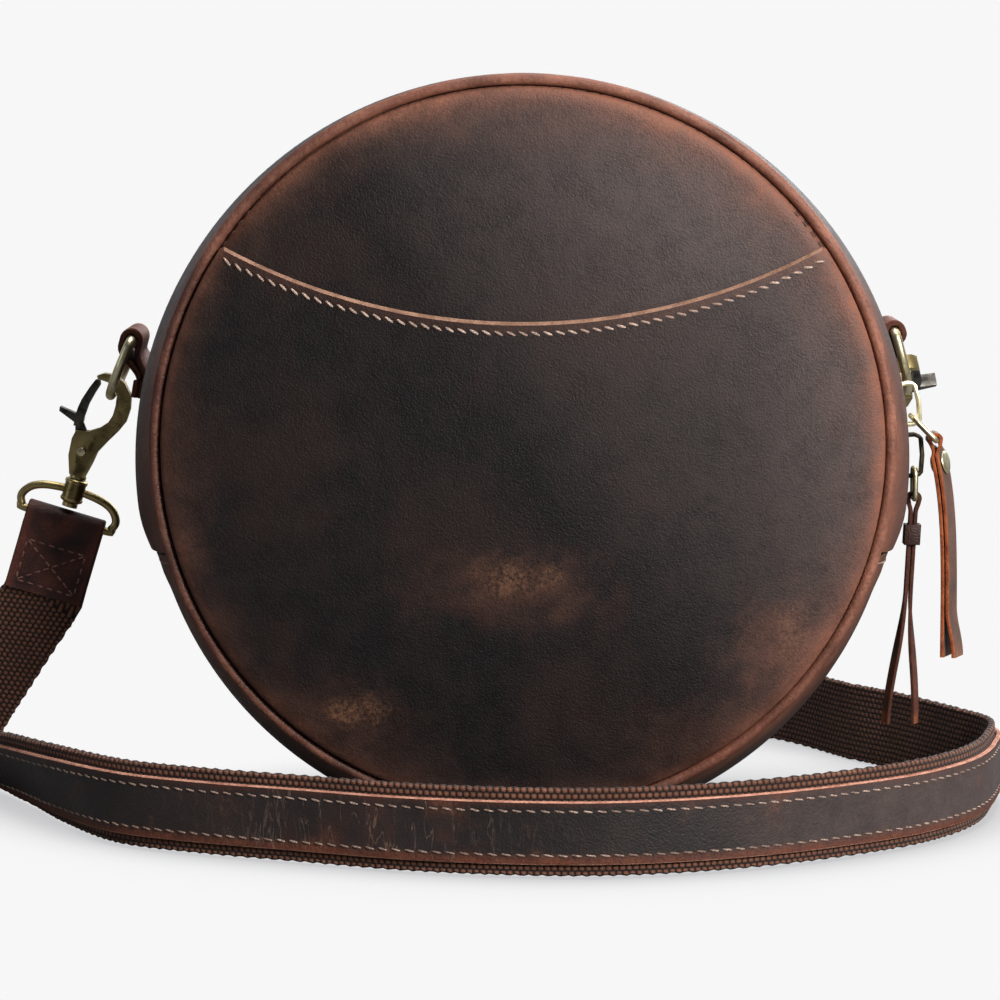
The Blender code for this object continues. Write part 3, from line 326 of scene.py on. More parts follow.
def build(name, points, faces, looks, replaced=(), body="bag", marks=None, uv=None, face_looks=None,
          sharp=38):
    """A mesh piece that rides on a body. marks are shares per point, uv is a pair per point."""
    mesh = bpy.data.meshes.new(name)
    mesh.from_pydata([tuple(p) for p in points], [], faces)
    for key in ("wear", "scuff", "haze", "crack"):
        layer = mesh.attributes.new(key, "FLOAT", "POINT")
        if marks and key in marks:
            shares = np.clip(marks[key], 0, 1).astype(np.float32)
            layer.data.foreach_set("value", np.resize(shares, len(points)))
    if uv is not None:
        uv = uv.astype(np.float32).reshape(-1, 2)
        layer = mesh.uv_layers.new(name="UVMap")
        index = np.empty(len(mesh.loops), np.int32)
        mesh.loops.foreach_get("vertex_index", index)
        layer.data.foreach_set("uv", uv[index].ravel())
    for look in looks:
        mesh.materials.append(finishes[look])
    if face_looks is not None:
        mesh.polygons.foreach_set("material_index", np.asarray(face_looks, np.int32))
    work = bmesh.new()
    work.from_mesh(mesh)
    bmesh.ops.recalc_face_normals(work, faces=work.faces)
    work.to_mesh(mesh)
    work.free()
    mesh.shade_smooth()
    mesh.set_sharp_from_angle(angle=radians(sharp))
    place_piece(add_object(name, mesh), replaced, body)


def soften(name, node, look, body, width, segments=2):
    """The frame's own solid with its hard edges rounded."""
    mesh = nodes[node].data.copy()
    mesh.name = name
    work = bmesh.new()
    work.from_mesh(mesh)
    bmesh.ops.remove_doubles(work, verts=work.verts, dist=2e-6)
    bmesh.ops.dissolve_limit(work, angle_limit=radians(1.5), verts=work.verts, edges=work.edges)
    work.to_mesh(mesh)
    work.free()
    mesh.materials.clear()
    mesh.materials.append(finishes[look])
    made = add_object(name, mesh)
    step = made.modifiers.new("round", "BEVEL")
    step.width, step.segments, step.limit_method = width, segments, "ANGLE"
    step.angle_limit, step.use_clamp_overlap = radians(38), True
    made.data = bpy.data.meshes.new_from_object(made.evaluated_get(bpy.context.evaluated_depsgraph_get()))
    made.modifiers.clear()
    made.data.name = name
    made.data.shade_smooth()
    made.data.set_sharp_from_angle(angle=radians(50))
    place_piece(made, [node], body)
    return made


def grid_faces(rows, columns, close_rows=False, caps=True):
    """Faces between rings of points, each ring closed, with a cap on the first and last ring."""
    faces = []
    for row in range(rows if close_rows else rows - 1):
        low, high = row * columns, (row + 1) % rows * columns
        for column in range(columns):
            after = (column + 1) % columns
            faces.append((low + column, low + after, high + after, high + column))
    if caps and not close_rows:
        faces += [tuple(range(columns)), tuple(range(rows * columns - columns, rows * columns))]
    return faces


def shifted(faces, start):
    return [tuple(start + k for k in face) for face in faces]


def edge_looks(rows, columns, edges, caps):
    """The second look on some columns of a grid, and a look for its caps."""
    return [int(column in edges) for row in range(rows - 1) for column in range(columns)] + [caps] * 2


def circle(centre, radius, side, up, count):
    turns = [tau * k / count for k in range(count)]
    return [centre + radius * (cos(turn) * side + sin(turn) * up) for turn in turns]


def curve(points, counts, closed=False):
    """Catmull-Rom curve through points, in counts steps from each point to the next."""
    last, out = len(points) - 1, []
    for index, count in enumerate(counts):
        picks = [index + k for k in (-1, 0, 1, 2)]
        a, b, c, d = [points[k % (last + 1) if closed else min(max(k, 0), last)] for k in picks]
        for t in (step / count for step in range(count)):
            out.append(0.5 * (2 * b + (c - a) * t + (2 * a - 5 * b + 4 * c - d) * t * t
                              + (3 * b - a - 3 * c + d) * t * t * t))
    return out if closed else out + [points[-1].copy()]


def tube_points(path, flat, radius, sides):
    """Rings of points round a closed path."""
    rings = []
    for index, point in enumerate(path):
        along = (path[(index + 1) % len(path)] - path[index - 1]).normalized()
        side = along.cross(flat).normalized()
        here = radius[index] if hasattr(radius, "__len__") else radius
        rings += circle(point, here, side, side.cross(along), sides)
    return rings


def tube(name, path, flat, radius, look, replaced, sides, body="bag", place=Matrix(), marks=None):
    points = [place @ p for p in tube_points(path, flat, radius, sides)]
    if marks:
        marks = marks(np.array([tuple(p) for p in points]))
    build(name, points, grid_faces(len(path), sides, True), [look], replaced, body, marks)


def band_frames(centres, broads):
    """Directions along, across and out of a band at each of its sections, and the distance run."""
    centres = np.array([tuple(c) for c in centres])
    broads = np.array([tuple(b) for b in broads])
    along = np.empty_like(centres)
    along[1:-1] = centres[2:] - centres[:-2]
    along[0], along[-1] = centres[1] - centres[0], centres[-1] - centres[-2]
    along /= np.linalg.norm(along, axis=1)[:, None]
    broads = broads - (broads * along).sum(1)[:, None] * along
    broads /= np.linalg.norm(broads, axis=1)[:, None]
    run = np.concatenate([[0], np.cumsum(np.linalg.norm(np.diff(centres, axis=0), axis=1))])
    return centres, along, broads, np.cross(along, broads), run


def band(name, centres, broads, width, thickness, looks, replaced, body="bag", offset=0, marks=None,
         columns=12, bevel=0.0003, swell=None, scallop=None):
    """A flat strip with rounded edges. looks are for its faces and for its cut edges."""
    centres, along, broads, face, run = band_frames(centres, broads)
    run = run[:, None]
    half, thick = width / 2, thickness / 2
    bevel = min(bevel, thick * 0.6)
    top = [(half - bevel - (width - 2 * bevel) * k / columns, thick) for k in range(columns + 1)]
    section = top + [(-half, thick - bevel), (-half, bevel - thick)]
    section = np.array(section + [(b, -t) for b, t in reversed(top)] + [(half, bevel - thick), (half, thick - bevel)])
    across = np.repeat(section[None, :, 0], len(centres), 0)
    height = np.repeat(section[None, :, 1], len(centres), 0) + offset
    if swell:
        height = height + swell(run, across, np.sign(section[None, :, 1]))
    if scallop:
        across = across + np.sign(across) * (np.abs(across) > half - 2 * bevel) * scallop(run, across)
    points = centres[:, None] + across[..., None] * broads[:, None] + height[..., None] * face[:, None]
    rows, size = points.shape[:2]
    edges = {columns, columns + 1, columns + 2, size - 3, size - 2, size - 1}
    uv = np.stack([across + 0.5, np.repeat(run, size, 1) + 0.5], -1)
    build(name, points.reshape(-1, 3), grid_faces(rows, size), looks, replaced, body,
          marks(points, run, across) if marks else None, uv, edge_looks(rows, size, edges, 1))


def stitches(name, places, look, length, radius, slant=0.0, sink=0.25):
    """Separate stitches. places are (middle, direction along the row, direction out of the leather)."""
    points, faces, sides, steps = [], [], 6, 6
    for middle, along, out in places:
        middle, along, out = Vector(middle), Vector(along).normalized(), Vector(out).normalized()
        side = out.cross(along).normalized()
        run = (cos(slant) * along + sin(slant) * side).normalized()
        across = out.cross(run).normalized()
        faces += shifted(grid_faces(steps + 1, sides), len(points))
        for share in (step / steps for step in range(steps + 1)):
            arch = sin(pi * share)
            centre = middle + (share - 0.5) * length * run + (arch ** 0.6 * radius * 1.15 - sink * radius * 3) * out
            points += circle(centre, radius * (0.35 + 0.65 * arch ** 0.5), across, out, sides)
    build(name, points, faces, [look], sharp=80)


def ripple(points, size, seed=0.0):
    """Smooth noise from -1 to 1 at each point."""
    flat = np.asarray(points).reshape(-1, 3) / size + seed
    return np.array([noise.noise(Vector(p)) for p in flat]).reshape(np.asarray(points).shape[:-1])


def around(direction, middle, width):
    """1 near a direction in degrees, falling to 0 at width degrees away."""
    away = np.abs((np.degrees(direction) - middle + 180) % 360 - 180)
    return smooth(1 - away / width)


# ---------------------------------------------------------------- round body
def seam(angle, radius):
    return axis_rise * np.sin(angle) + np.sqrt(radius ** 2 - (axis_rise * np.cos(angle)) ** 2)


def rise_angle(angle):
    return np.arctan2(np.sin(angle), np.abs(np.cos(angle)))


def skin(angle, depth):
    """Distance of the side's outer face from the zip's axis."""
    angle, depth = np.broadcast_arrays(np.asarray(angle, float), np.asarray(depth, float))
    edge = seam(angle, gusset_edge_radius)
    middle = mix(zip_radius, base_radius, smooth((flank_angle - rise_angle(angle)) / base_blend_angle))
    full = np.maximum(1 - np.abs(depth / seam_depth) ** gusset_fullness, 0)
    low = np.where(np.sin(angle) < 0, zip_axis_height / np.maximum(-np.sin(angle), 1e-6), 9.0)
    return np.minimum(mix(edge, middle, full), low)


def lap(angle):
    """How far a zip strip has dipped under the base gusset, from 0 to 1."""
    return smooth((lap_start_angle - rise_angle(angle)) / (lap_start_angle - lapped_angle))


def polar(angle, radius, depth):
    angle, radius, depth = np.broadcast_arrays(angle, radius, depth)
    return np.stack([radius * np.cos(angle), depth, zip_axis_height + radius * np.sin(angle)], -1)


def radial(angle):
    return vec(cos(angle), 0, sin(angle))


def tangent(angle):
    return vec(-sin(angle), 0, cos(angle))


def shell(name, angles, section, looks, replaced, edges=(), marks=None):
    """A sheet swept about the zip's axis from sections of (radius, depth)."""
    rings = np.array([section(angle) for angle in angles])
    turn = np.array(angles)[:, None]
    points = polar(turn, rings[..., 0], rings[..., 1])
    rows, columns = points.shape[:2]
    uv = np.stack([rings[..., 1] + 0.5, np.broadcast_to(turn * zip_radius + 1.0, (rows, columns))], -1)
    build(name, points.reshape(-1, 3), grid_faces(rows, columns), looks, replaced, "bag",
          marks(points, turn) if marks else None, uv, edge_looks(rows, columns, edges, len(looks) - 1))


def steps(first, last, step):
    return list(np.linspace(first, last, max(2, int(ceil(abs(last - first) / step)) + 1)))


sharp_step, zip_step, base_step, lining_step = radians(0.2), radians(1.2), radians(1.1), radians(2)
zip_angles = sorted(set(steps(zip_end_angle, lap_start_angle, sharp_step)[:-1]
                        + steps(lap_start_angle, pi - lap_start_angle, zip_step)
                        + steps(pi - lap_start_angle, pi - zip_end_angle, sharp_step)[1:]))
tape_end = mix(lap_angle, zip_end_angle, 0.9)
tape_angles = sorted({max(min(angle, pi - tape_end), tape_end) for angle in zip_angles})
base_angles = steps(lap_angle, -pi - lap_angle, base_step)
inner_edge = seam_depth - lip_leather
cloth_edge = inner_edge - lining_cloth - 2 * gap
tuck = lip_leather + lining_cloth + 2 * gap


def gusset_marks(points, turn):
    depth = np.abs(points[..., 1]) / seam_depth
    cloud = ripple(points, 0.016, 2.0)
    edge = smooth((depth - 0.72) / 0.28)
    right, top, left = around(turn, -10, 60), around(turn, 80, 90), around(turn, 190, 75)
    # Edge rubbing plus patchy tone; the right and top weights add painted highlight where the key and top lamps fall.
    wear = edge * (0.35 + 0.3 * cloud + 0.3 * right + 0.15 * top) + 0.12 * smooth(cloud * 1.6)
    wear = wear + smooth((depth - 0.25) / 0.4) * (0.5 * right + 0.28 * left)
    # The sheen share is painted sheen: higher on the right and top, lower on the left.
    return {"wear": wear, "scuff": 0.3 * edge * (cloud > 0.1),
            "haze": (0.1 + 0.15 * ripple(points, 0.03, 5.0) + 0.4 * right + 0.3 * top) * (1 - 0.8 * left)}


def skived_end(angle):
    """The base gusset is pared thin where it laps over the zip strips."""
    inward = min(lap_angle - angle, angle + pi + lap_angle)
    return 0.0009 * float(smooth(1 - inward / radians(4)))


def lip_foot(angle):
    return float(seam(angle, gusset_edge_radius - lip_width))


def base_section(angle):
    shares = np.array([0.0, 0.2, 0.42, 0.6, 0.75, 0.85, 0.92, 0.97, 1.0])
    outer_depth = seam_depth * np.concatenate([-shares[:0:-1], shares])
    inner_depth = outer_depth[::-1] * inner_edge / seam_depth
    outer = np.stack([skin(angle, outer_depth) - skived_end(angle), outer_depth], -1)
    inner = np.stack([skin(angle, inner_depth) - gusset_leather, inner_depth], -1)
    foot = lip_foot(angle)
    return np.concatenate([outer, [(foot, seam_depth), (foot, inner_edge)], inner,
                           [(foot, -inner_edge), (foot, -seam_depth)]])


def strip_section_for(side):
    shares = np.array([0.0, 0.12, 0.3, 0.5, 0.68, 0.82, 0.91, 0.97, 1.0])

    def section(angle):
        dip = float(lap(angle))
        edge = seam_depth - dip * tuck
        inside = edge - lip_leather
        outer_depth, inner_depth = mix(strip_edge, edge, shares), mix(strip_edge, inside, shares)
        outer = np.stack([skin(angle, outer_depth) - dip * lap_drop, outer_depth], -1)
        inner = np.stack([skin(angle, inner_depth) - dip * lap_drop - strip_leather, inner_depth], -1)
        foot = mix(lip_foot(angle), inner[-1, 0] - lining_cloth, min(1, 5 * dip))
        return np.concatenate([outer, [(foot, edge), (foot, inside)], inner[::-1]]) * (1, side)
    return section


def sheet(depth, top, thickness):
    return np.concatenate([np.stack([top, depth], -1), np.stack([top - thickness, depth], -1)[::-1]])


def cloth_section_for(side, first, last, dipped_last, thickness):
    """A layer of cloth under a zip strip, narrower by dipped_last where the strip dips."""
    def section(angle):
        dip = float(lap(angle))
        depth = np.linspace(first, last - dip * dipped_last, 8)
        return sheet(depth, skin(angle, depth) - dip * lap_drop - strip_leather - gap, thickness) * (1, side)
    return section


def base_lining_section(angle):
    depth = np.linspace(-cloth_edge, cloth_edge, 17)
    return sheet(depth, skin(angle, depth) - gusset_leather - 2 * gap, lining_cloth)


shell("gusset_leather", base_angles, base_section, ["body_leather", "pale_cut"], ["base_gusset"],
      marks=gusset_marks)
tape_inner = tape_edge + tape_width
for suffix, side in both_sides:
    shell("zip_strip_leather_" + suffix, zip_angles, strip_section_for(side), ["body_leather", "pale_cut"],
          ["zip_strip_" + suffix], {19}, gusset_marks)
    shell("zip_cloth_" + suffix, tape_angles, cloth_section_for(side, tape_edge, tape_inner, 0, tape_cloth),
          ["tape_weave"], ["zip_tape_" + suffix])
    shell("zip_side_lining_" + suffix, tape_angles,
          cloth_section_for(side, tape_inner + gap, cloth_edge, lip_leather + gap, lining_cloth),
          ["lining_weave"], ["lining_zip_" + suffix])
lining_end = zip_end_angle - radians(1)
shell("base_lining", steps(lining_end, -pi - lining_end, lining_step), base_lining_section, ["lining_weave"],
      ["lining_base"])


def tooth_rows(suffix, side):
    """Separate teeth on one tape, half a pitch away from the other tape's."""
    points, faces = [], []
    first, last = 0.02 - stop_angle_below, pi + stop_angle_below - 0.02
    half = [(0.00046, 0.34), (0.0011, 0.42), (0.0016, 0.3), (0.0021, 0.4), (0.0031, 0.44)]
    outline = half + [(depth, -share) for depth, share in reversed(half)]
    bevel, end = 0.0003, 0.86
    levels = ((-row_height / 2, end), (bevel - row_height / 2, 1), (row_height / 2 - bevel, 1), (row_height / 2, end))
    for index in range(int((last - first) * zip_radius / tooth_pitch)):
        angle = first + (index + (0.25 if side < 0 else 0.75)) * tooth_pitch / zip_radius
        middle = float(skin(angle, 0)) - row_middle
        faces += shifted(grid_faces(len(levels), len(outline)), len(points))
        points += [polar(angle + share * tooth_pitch * 0.5 * trim / zip_radius, middle + level, side * depth)
                   for level, trim in levels for depth, share in outline]
    build("teeth_" + suffix, points, faces, ["blackened_brass"], ["zip_teeth_" + suffix], sharp=50)


for suffix, side in both_sides:
    tooth_rows(suffix, side)

# ---------------------------------------------------------------- panels, pocket and rims
skived_back = rim_depth - rim_thickness / 4
skived_front = skived_back + skived_leather
skived_share = 0.95
pocket_lift = panel_leather + gap
mouth_centre = pocket_mouth_height + pocket_mouth_radius


def crowned(share):
    return panel_edge_depth + panel_crown * (1 - np.minimum(share, skived_share) ** 2)


def skive(share):
    return np.clip((np.asarray(share, float) - skived_share) / (1 - skived_share), 0, 1)


def panel_face(share):
    """Outer face depth, falling smoothly to the thin sewn edge."""
    return mix(crowned(share), skived_front, 1 - np.sqrt(np.maximum(1 - skive(share) ** 2.2, 0)))


def panel_back(share):
    return mix(crowned(share) - panel_leather, skived_back, smooth(skive(share)))


def panel_place(points):
    """Distance from the panel's middle as a share of its radius, and the direction round it."""
    x, z = points[..., 0], points[..., 2] - panel_axis_height
    return np.hypot(x, z) / panel_radius, np.arctan2(z, x)


def blots(points, *rows):
    """Ragged patches on the front: amount, middle x and z, width and height in millimetres, seed."""
    total = 0
    for amount, x, z, wide, high, seed in rows:
        away = np.hypot((points[..., 0] * 1000 - x) / wide, (points[..., 2] * 1000 - z) / high)
        ragged = ripple(points, 0.006, seed) * 0.45 + ripple(points, 0.0022, seed + 3) * 0.3
        total = total + amount * smooth(1.15 - away + ragged)
    return total


def front_marks(points, on_pocket=False):
    share, direction = panel_place(points)
    cloud = ripple(points, 0.014, 1.0) * 0.6 + ripple(points, 0.005, 4.0) * 0.35
    right, top = around(direction, 0, 75), around(direction, 80, 85)
    width = 0.05 + 0.05 * top + 0.05 * right + 0.02 * cloud
    edge = np.clip((share - (1 - width)) / width, 0, 1) ** 2.2
    glow = smooth((share - (1 - 2.2 * width)) / (2.2 * width))
    # Edge rubbing; the top and right weights here and in the wide glow band add painted highlight where the top and
    # key lamps fall.
    wear = edge * (0.4 + 0.5 * top + 0.6 * right) * (0.9 + 0.5 * cloud)
    wear += glow * (0.1 + 0.14 * top + 0.04 * right) * (1 + cloud)
    wear += blots(points, (0.13, -2, 68, 32, 13, 11), (0.09, -48, 32, 18, 12, 12), (0.22, 74, 52, 20, 18, 13),
                  (0.07, 52, 28, 26, 12, 14), (0.05, -92, 88, 7, 30, 15))
    scuff = blots(points, (0.5, -2, 71, 14, 7, 21), (0.38, -46, 34, 12, 6, 22), (0.28, 74, 56, 9, 9, 23))
    # Tan specks along the top edge: partly rubbing, partly painted highlight from the top lamp.
    scuff += 0.35 * edge * top * smooth(cloud * 2 + 0.3)
    x, z = points[..., 0] / panel_radius, (points[..., 2] - panel_axis_height) / panel_radius
    # Painted sheen rising towards the upper right, where the key lamp reflects. It is lower on the pocket away from
    # its right edge, with one painted patch near the top.
    haze = np.clip((0.85 * x + 0.53 * z + 0.03) / 0.85, 0, 1) * (0.84 - 0.26 * on_pocket * smooth((0.9 - x) / 0.35))
    haze = haze + blots(points, (0.1, 36, 178, 40, 24, 16))
    if on_pocket:
        # Real rubbing along the pocket's mouth, with its right-hand part raised as painted highlight.
        below = np.hypot(points[..., 0], points[..., 2] - mouth_centre) - pocket_mouth_radius
        wear = wear + (0.1 + 0.16 * right) * smooth((0.0034 - below) / 0.0012)
    return {"wear": wear, "scuff": scuff, "haze": haze}


def back_marks(points):
    # The front's marks mirrored, painted highlight and painted sheen included.
    return front_marks(points * (-1, 1, 1) + (0.011, 0, -0.006))


def rings_round(rows, side, count):
    """Rings of points about the panels' axis, from rows of (radius, depth)."""
    turns = np.linspace(0, tau, count, endpoint=False)
    return np.array([np.stack([radius * np.cos(turns), np.full(count, side * depth),
                               panel_axis_height + radius * np.sin(turns)], -1) for radius, depth in rows])


def panel(name, side, replaced, marks):
    count = 220
    shares = np.concatenate([np.linspace(0, 0.9, 34), np.linspace(0.915, 1.0, 14)])[1:]
    rows = [(share * panel_radius, panel_face(share)) for share in shares]
    rows += [(share * panel_radius, panel_back(share)) for share in shares[::-1]]
    tips = [[0, side * face(0), panel_axis_height] for face in (panel_face, panel_back)]
    points = np.concatenate([rings_round(rows, side, count).reshape(-1, 3), tips])
    faces = grid_faces(len(rows), count, caps=False)
    last, tip = (len(rows) - 1) * count, len(rows) * count
    for k in range(count):
        after = (k + 1) % count
        faces += [(tip, after, k), (tip + 1, last + k, last + after)]
    build(name, points, faces, ["body_leather"], replaced, marks=marks(points))


# where the arc of the pocket's mouth meets the panel's edge
mouth_rise = mouth_centre - panel_axis_height
corner_z = (mouth_rise ** 2 + panel_radius ** 2 - pocket_mouth_radius ** 2) / (2 * mouth_rise)
corner_x = sqrt(panel_radius ** 2 - corner_z ** 2)


def pocket(columns=150, lines=96, cut=0.0009, cut_back=0.0008):
    """A grid from side to side. Each column runs from the bottom edge up to the mouth's cut edge."""
    x = np.sin(np.linspace(-pi / 2, pi / 2, columns)) * panel_radius
    reach = np.sqrt(np.maximum(panel_radius ** 2 - x ** 2, 0))
    inside = np.abs(x) < corner_x
    low = panel_axis_height - reach
    top = np.where(inside, mouth_centre - np.sqrt(pocket_mouth_radius ** 2 - x ** 2), panel_axis_height + reach)
    run = 0.5 - 0.5 * np.cos(np.linspace(0, pi, lines - 1))
    z = low[:, None] + (top - np.where(inside, cut, 0.0) - low)[:, None] * run[None, :]
    z = np.concatenate([z, top[:, None]], 1)
    x = np.repeat(x[:, None], lines, 1)
    share = np.minimum(np.hypot(x, z - panel_axis_height) / panel_radius, 1.0)
    outer, inner = [np.stack([x, -(face(share) + pocket_lift), z], -1) for face in (panel_face, panel_back)]
    outer[inside, -1, 1] += cut_back
    flat = np.concatenate([outer.reshape(-1, 3), inner.reshape(-1, 3)])
    half = columns * lines
    faces, face_looks = [], []
    for column in range(columns - 1):
        for line in range(lines - 1):
            a = column * lines + line
            faces.append((a, a + 1, a + lines + 1, a + lines))
            faces.append((half + a, half + a + lines, half + a + lines + 1, half + a + 1))
            face_looks += [int(line == lines - 2 and inside[column] and inside[column + 1]), 0]
    for column in range(columns - 1):
        a, b = column * lines, (column + 1) * lines
        faces.append((a, b, half + b, half + a))
        faces.append((a + lines - 1, half + a + lines - 1, half + b + lines - 1, b + lines - 1))
        face_looks += [0, 1]
    for line in range(lines - 1):
        a, b = line, (columns - 1) * lines + line
        faces += [(a, half + a, half + a + 1, a + 1), (b, b + 1, half + b + 1, half + b)]
        face_looks += [0, 0]
    build("pocket_leather", flat, faces, ["body_leather", "pale_cut"], ["front_pocket"],
          marks=front_marks(flat, True), face_looks=face_looks)


def lining_disc(suffix, side):
    radius, edge = gusset_edge_radius - lip_width - gap, inner_edge - gap
    rows = [(share * radius, float(crowned(share * radius / panel_radius)) - panel_leather - gap)
            for share in np.linspace(0.05, 0.93, 14)]
    rows += [(radius, edge), (radius + lining_turn_in, edge)]
    points = rings_round(rows + [(r, d - lining_cloth) for r, d in reversed(rows)], side, 120)
    uv = np.stack([points[..., 0] + 0.5, points[..., 2] + 0.5], -1)
    build("lining_cloth_" + suffix, points.reshape(-1, 3), grid_faces(*points.shape[:2]), ["lining_weave"],
          ["lining_" + suffix], uv=uv)


def rim_marks(points):
    share, direction = panel_place(points)
    cloud = ripple(points, 0.009, 6.0)
    outer = smooth((share * panel_radius - rim_radius) / 0.0014 + 0.3)
    # Patchy rubbing; the top and right weights add painted highlight where the top and key lamps fall.
    wear = 0.22 + 0.35 * cloud + 0.45 * around(direction, 85, 85) + 0.5 * around(direction, 0, 75)
    return {"wear": wear, "scuff": 0.15 + 0.4 * cloud * outer}


panel("front_leather", -1, ["front_panel"], front_marks)
panel("back_leather", 1, ["back_panel"], back_marks)
pocket()
for name, side in both_sides:
    lining_disc(name, side)
    turns = [tau * k / 360 for k in range(360)]
    path = [vec(rim_radius * cos(a), side * rim_depth, panel_axis_height + rim_radius * sin(a)) for a in turns]
    wobble = [rim_thickness / 2 * (1 + 0.05 * noise.noise(p / 0.006)) for p in path]
    tube("rim_" + name, path, vec(0, 1, 0), wobble, "rim_leather", [name + "_rim"], 18,
         marks=rim_marks)

# ---------------------------------------------------------------- zip sliders, stops and links
soften("slider_main", "main_slider", "pale_brass_plate", "main_slider", 0.00025)
soften("slider_second", "second_slider", "blackened_brass", "second_slider", 0.00025)
for suffix in ("right", "left"):
    stop = soften("stop_" + suffix, "zip_stop_" + suffix, "antique_brass_plate", "bag", 0.0003)
    # the leather already curves in here, and the stop goes in with it
    middle = sum((v.co for v in stop.data.vertices), Vector()) / len(stop.data.vertices)
    angle = atan2(middle.z - zip_axis_height, middle.x)
    stop.data.transform(Matrix.Translation((float(skin(angle, 0)) - zip_radius) * radial(angle)))


def link_pivot(angle):
    turn = angle - link_seat_share * arch_span / 2 / zip_radius
    return Vector(polar(turn, zip_radius + link_seat, 0))


def corner(x, y, radius, start):
    """A quarter turn of a wire about x and y, from start in degrees."""
    angles = [radians(start + 15 * step) for step in range(7)]
    return [vec(x + radius * cos(a), y + radius * sin(a), 0) for a in angles]


def link(name, node, pivot, turn, drop, half_width):
    r = link_wire
    path = (corner(r, r - half_width, r, 180) + corner(drop - r, r - half_width, r, 270)
            + corner(drop - r, half_width - r, r, 0) + corner(r, half_width - r, r, 90))
    tube(name, path, vec(0, 0, 1), link_radius, "pale_brass_plate", [node], 14, node,
         Matrix.Translation(pivot) @ Matrix.Rotation(-turn, 4, "Y"))


main_pivot, second_pivot = link_pivot(main_slider_angle), link_pivot(second_slider_angle)
main_turn = main_link_angle - pi / 2
link("link_main", "main_link", main_pivot, main_turn, link_drop, link_half_width)
link("link_second", "second_link", second_pivot, -pi / 2, second_link_drop, second_link_half_width)


# ---------------------------------------------------------------- leather pull, rivet and thong
def fold_turns(count):
    """Angles of a half turn, for leather folded round a wire."""
    return [pi * (1 - step / count) for step in range(count + 1)]


pull_origin = main_pivot + link_drop * radial(main_turn)
wrap_radius = link_radius + gap + pull_leather_thickness / 2
layer_offset = gap / 2 + pull_leather_thickness / 2


def pull_middle(drop):
    return vec(pull_lean * (1 - (1 - drop / pull_length) ** 4), 0, -drop)


def pull_frame(drop):
    yaw = pull_yaw * float(smooth(drop / pull_rivet_drop / 0.5 - 0.3))
    along = pull_middle(drop + gap) - pull_middle(drop)
    broad = vec(sin(yaw), cos(yaw), 0)
    return broad, along.cross(broad).normalized()


def pull_point(drop, side):
    broad, face = pull_frame(drop)
    spread = float(mix(wrap_radius, layer_offset, smooth(drop / (0.6 * pull_rivet_drop))))
    spread += pull_split * float(smooth((drop - pull_split_length) / (pull_length - pull_split_length))) * (side > 0)
    return pull_middle(drop) + side * spread * face, broad


def strip_marks(points, run, across):
    cloud = ripple(points, 0.006, 9.0)
    edge = smooth((np.abs(across) * 1000 - 2.2) / 1.6)
    tip = smooth(1 - np.minimum(run, run.max() - run) / 0.004)
    return {"wear": 0.25 + 0.5 * cloud + 0.4 * edge + tip, "scuff": 0.35 * cloud + 0.2 + tip, "haze": 0.3}


drops = sorted({pull_length * k / 46 for k in range(2, 47)} | {0.035 * pull_length})
fold_broad, fold_face = pull_frame(0)
fold_top = fold_broad.cross(fold_face)
bend = [(wrap_radius * (cos(turn) * fold_face - sin(turn) * fold_top), fold_broad) for turn in fold_turns(14)]
path = [pull_point(drop, -1) for drop in reversed(drops)] + bend + [pull_point(drop, 1) for drop in drops]
band("pull_strip", [pull_origin + point for point, broad in path], [broad for point, broad in path], pull_width,
     pull_leather_thickness, ["pull_hide", "orange_cut"], ["pull_leather"], "main_pull",
     marks=strip_marks, columns=8, bevel=0.00025)

# rivet, turned from steps of (distance along its axis, radius)
axis = pull_frame(pull_rivet_drop)[1].normalized()
middle = pull_origin + pull_middle(pull_rivet_drop)
h = pull_leather_thickness + gap / 2 + running_gap
profile = [(-h - 0.0005, rivet_back / 2 - 0.0004), (-h - 0.0004, rivet_back / 2 - 0.0001), (-h, rivet_back / 2),
           (-h, rivet_shank / 2), (h, rivet_shank / 2), (h, rivet_head / 2), (h + 0.0002, rivet_head / 2 - 0.0001),
           (h + 0.0004, rivet_head / 2 - 0.0007), (h + 0.0005, rivet_head / 2 - 0.0016), (h + 0.00052, 0.0002)]
side = axis.orthogonal().normalized()
points = [p for along, radius in profile for p in circle(middle + along * axis, radius, side, axis.cross(side), 28)]
build("rivet", points, grid_faces(len(profile), 28), ["pale_brass_plate"], ["pull_rivet"],
      "main_pull", sharp=50)

thong_origin = second_pivot + vec(0, 0, -second_link_drop)
thong_wrap = link_radius + gap + thong_leather / 2
thong_offset = gap / 2 + thong_leather / 2


def thong_point(share, side):
    closed = float(mix(thong_wrap, thong_offset, smooth(share / (0.55 * collar_drop / thong_length))))
    opened = float(smooth((share - 0.4) / 0.6))
    return vec(-thong_inset * share + side * (closed + thong_spread * opened), 0, -share * thong_length)


shares = [0.025 + 0.975 * (k / 60) ** 1.3 for k in range(61)]
centres = [thong_point(share, -1) for share in reversed(shares)]
centres += [thong_wrap * radial(turn) for turn in fold_turns(12)]
centres += [thong_point(share, 1) for share in shares]
yaws = [thong_turn * float(smooth((share - 0.42) / 0.3)) for share in shares]
broads = [vec(-sin(yaw), cos(yaw), 0) for yaw in reversed(yaws)] + [vec(0, 1, 0)] * 13
broads += [vec(sin(yaw), cos(yaw), 0) for yaw in yaws]
band("thong", [thong_origin + c for c in centres], broads, thong_width, thong_leather, ["thong_hide", "dark_cut"],
     ["tassel_thong"], "tassel", marks=strip_marks, columns=6, bevel=0.0002)
soften("collar", "tassel_collar", "collar_hide", "tassel", 0.0002)


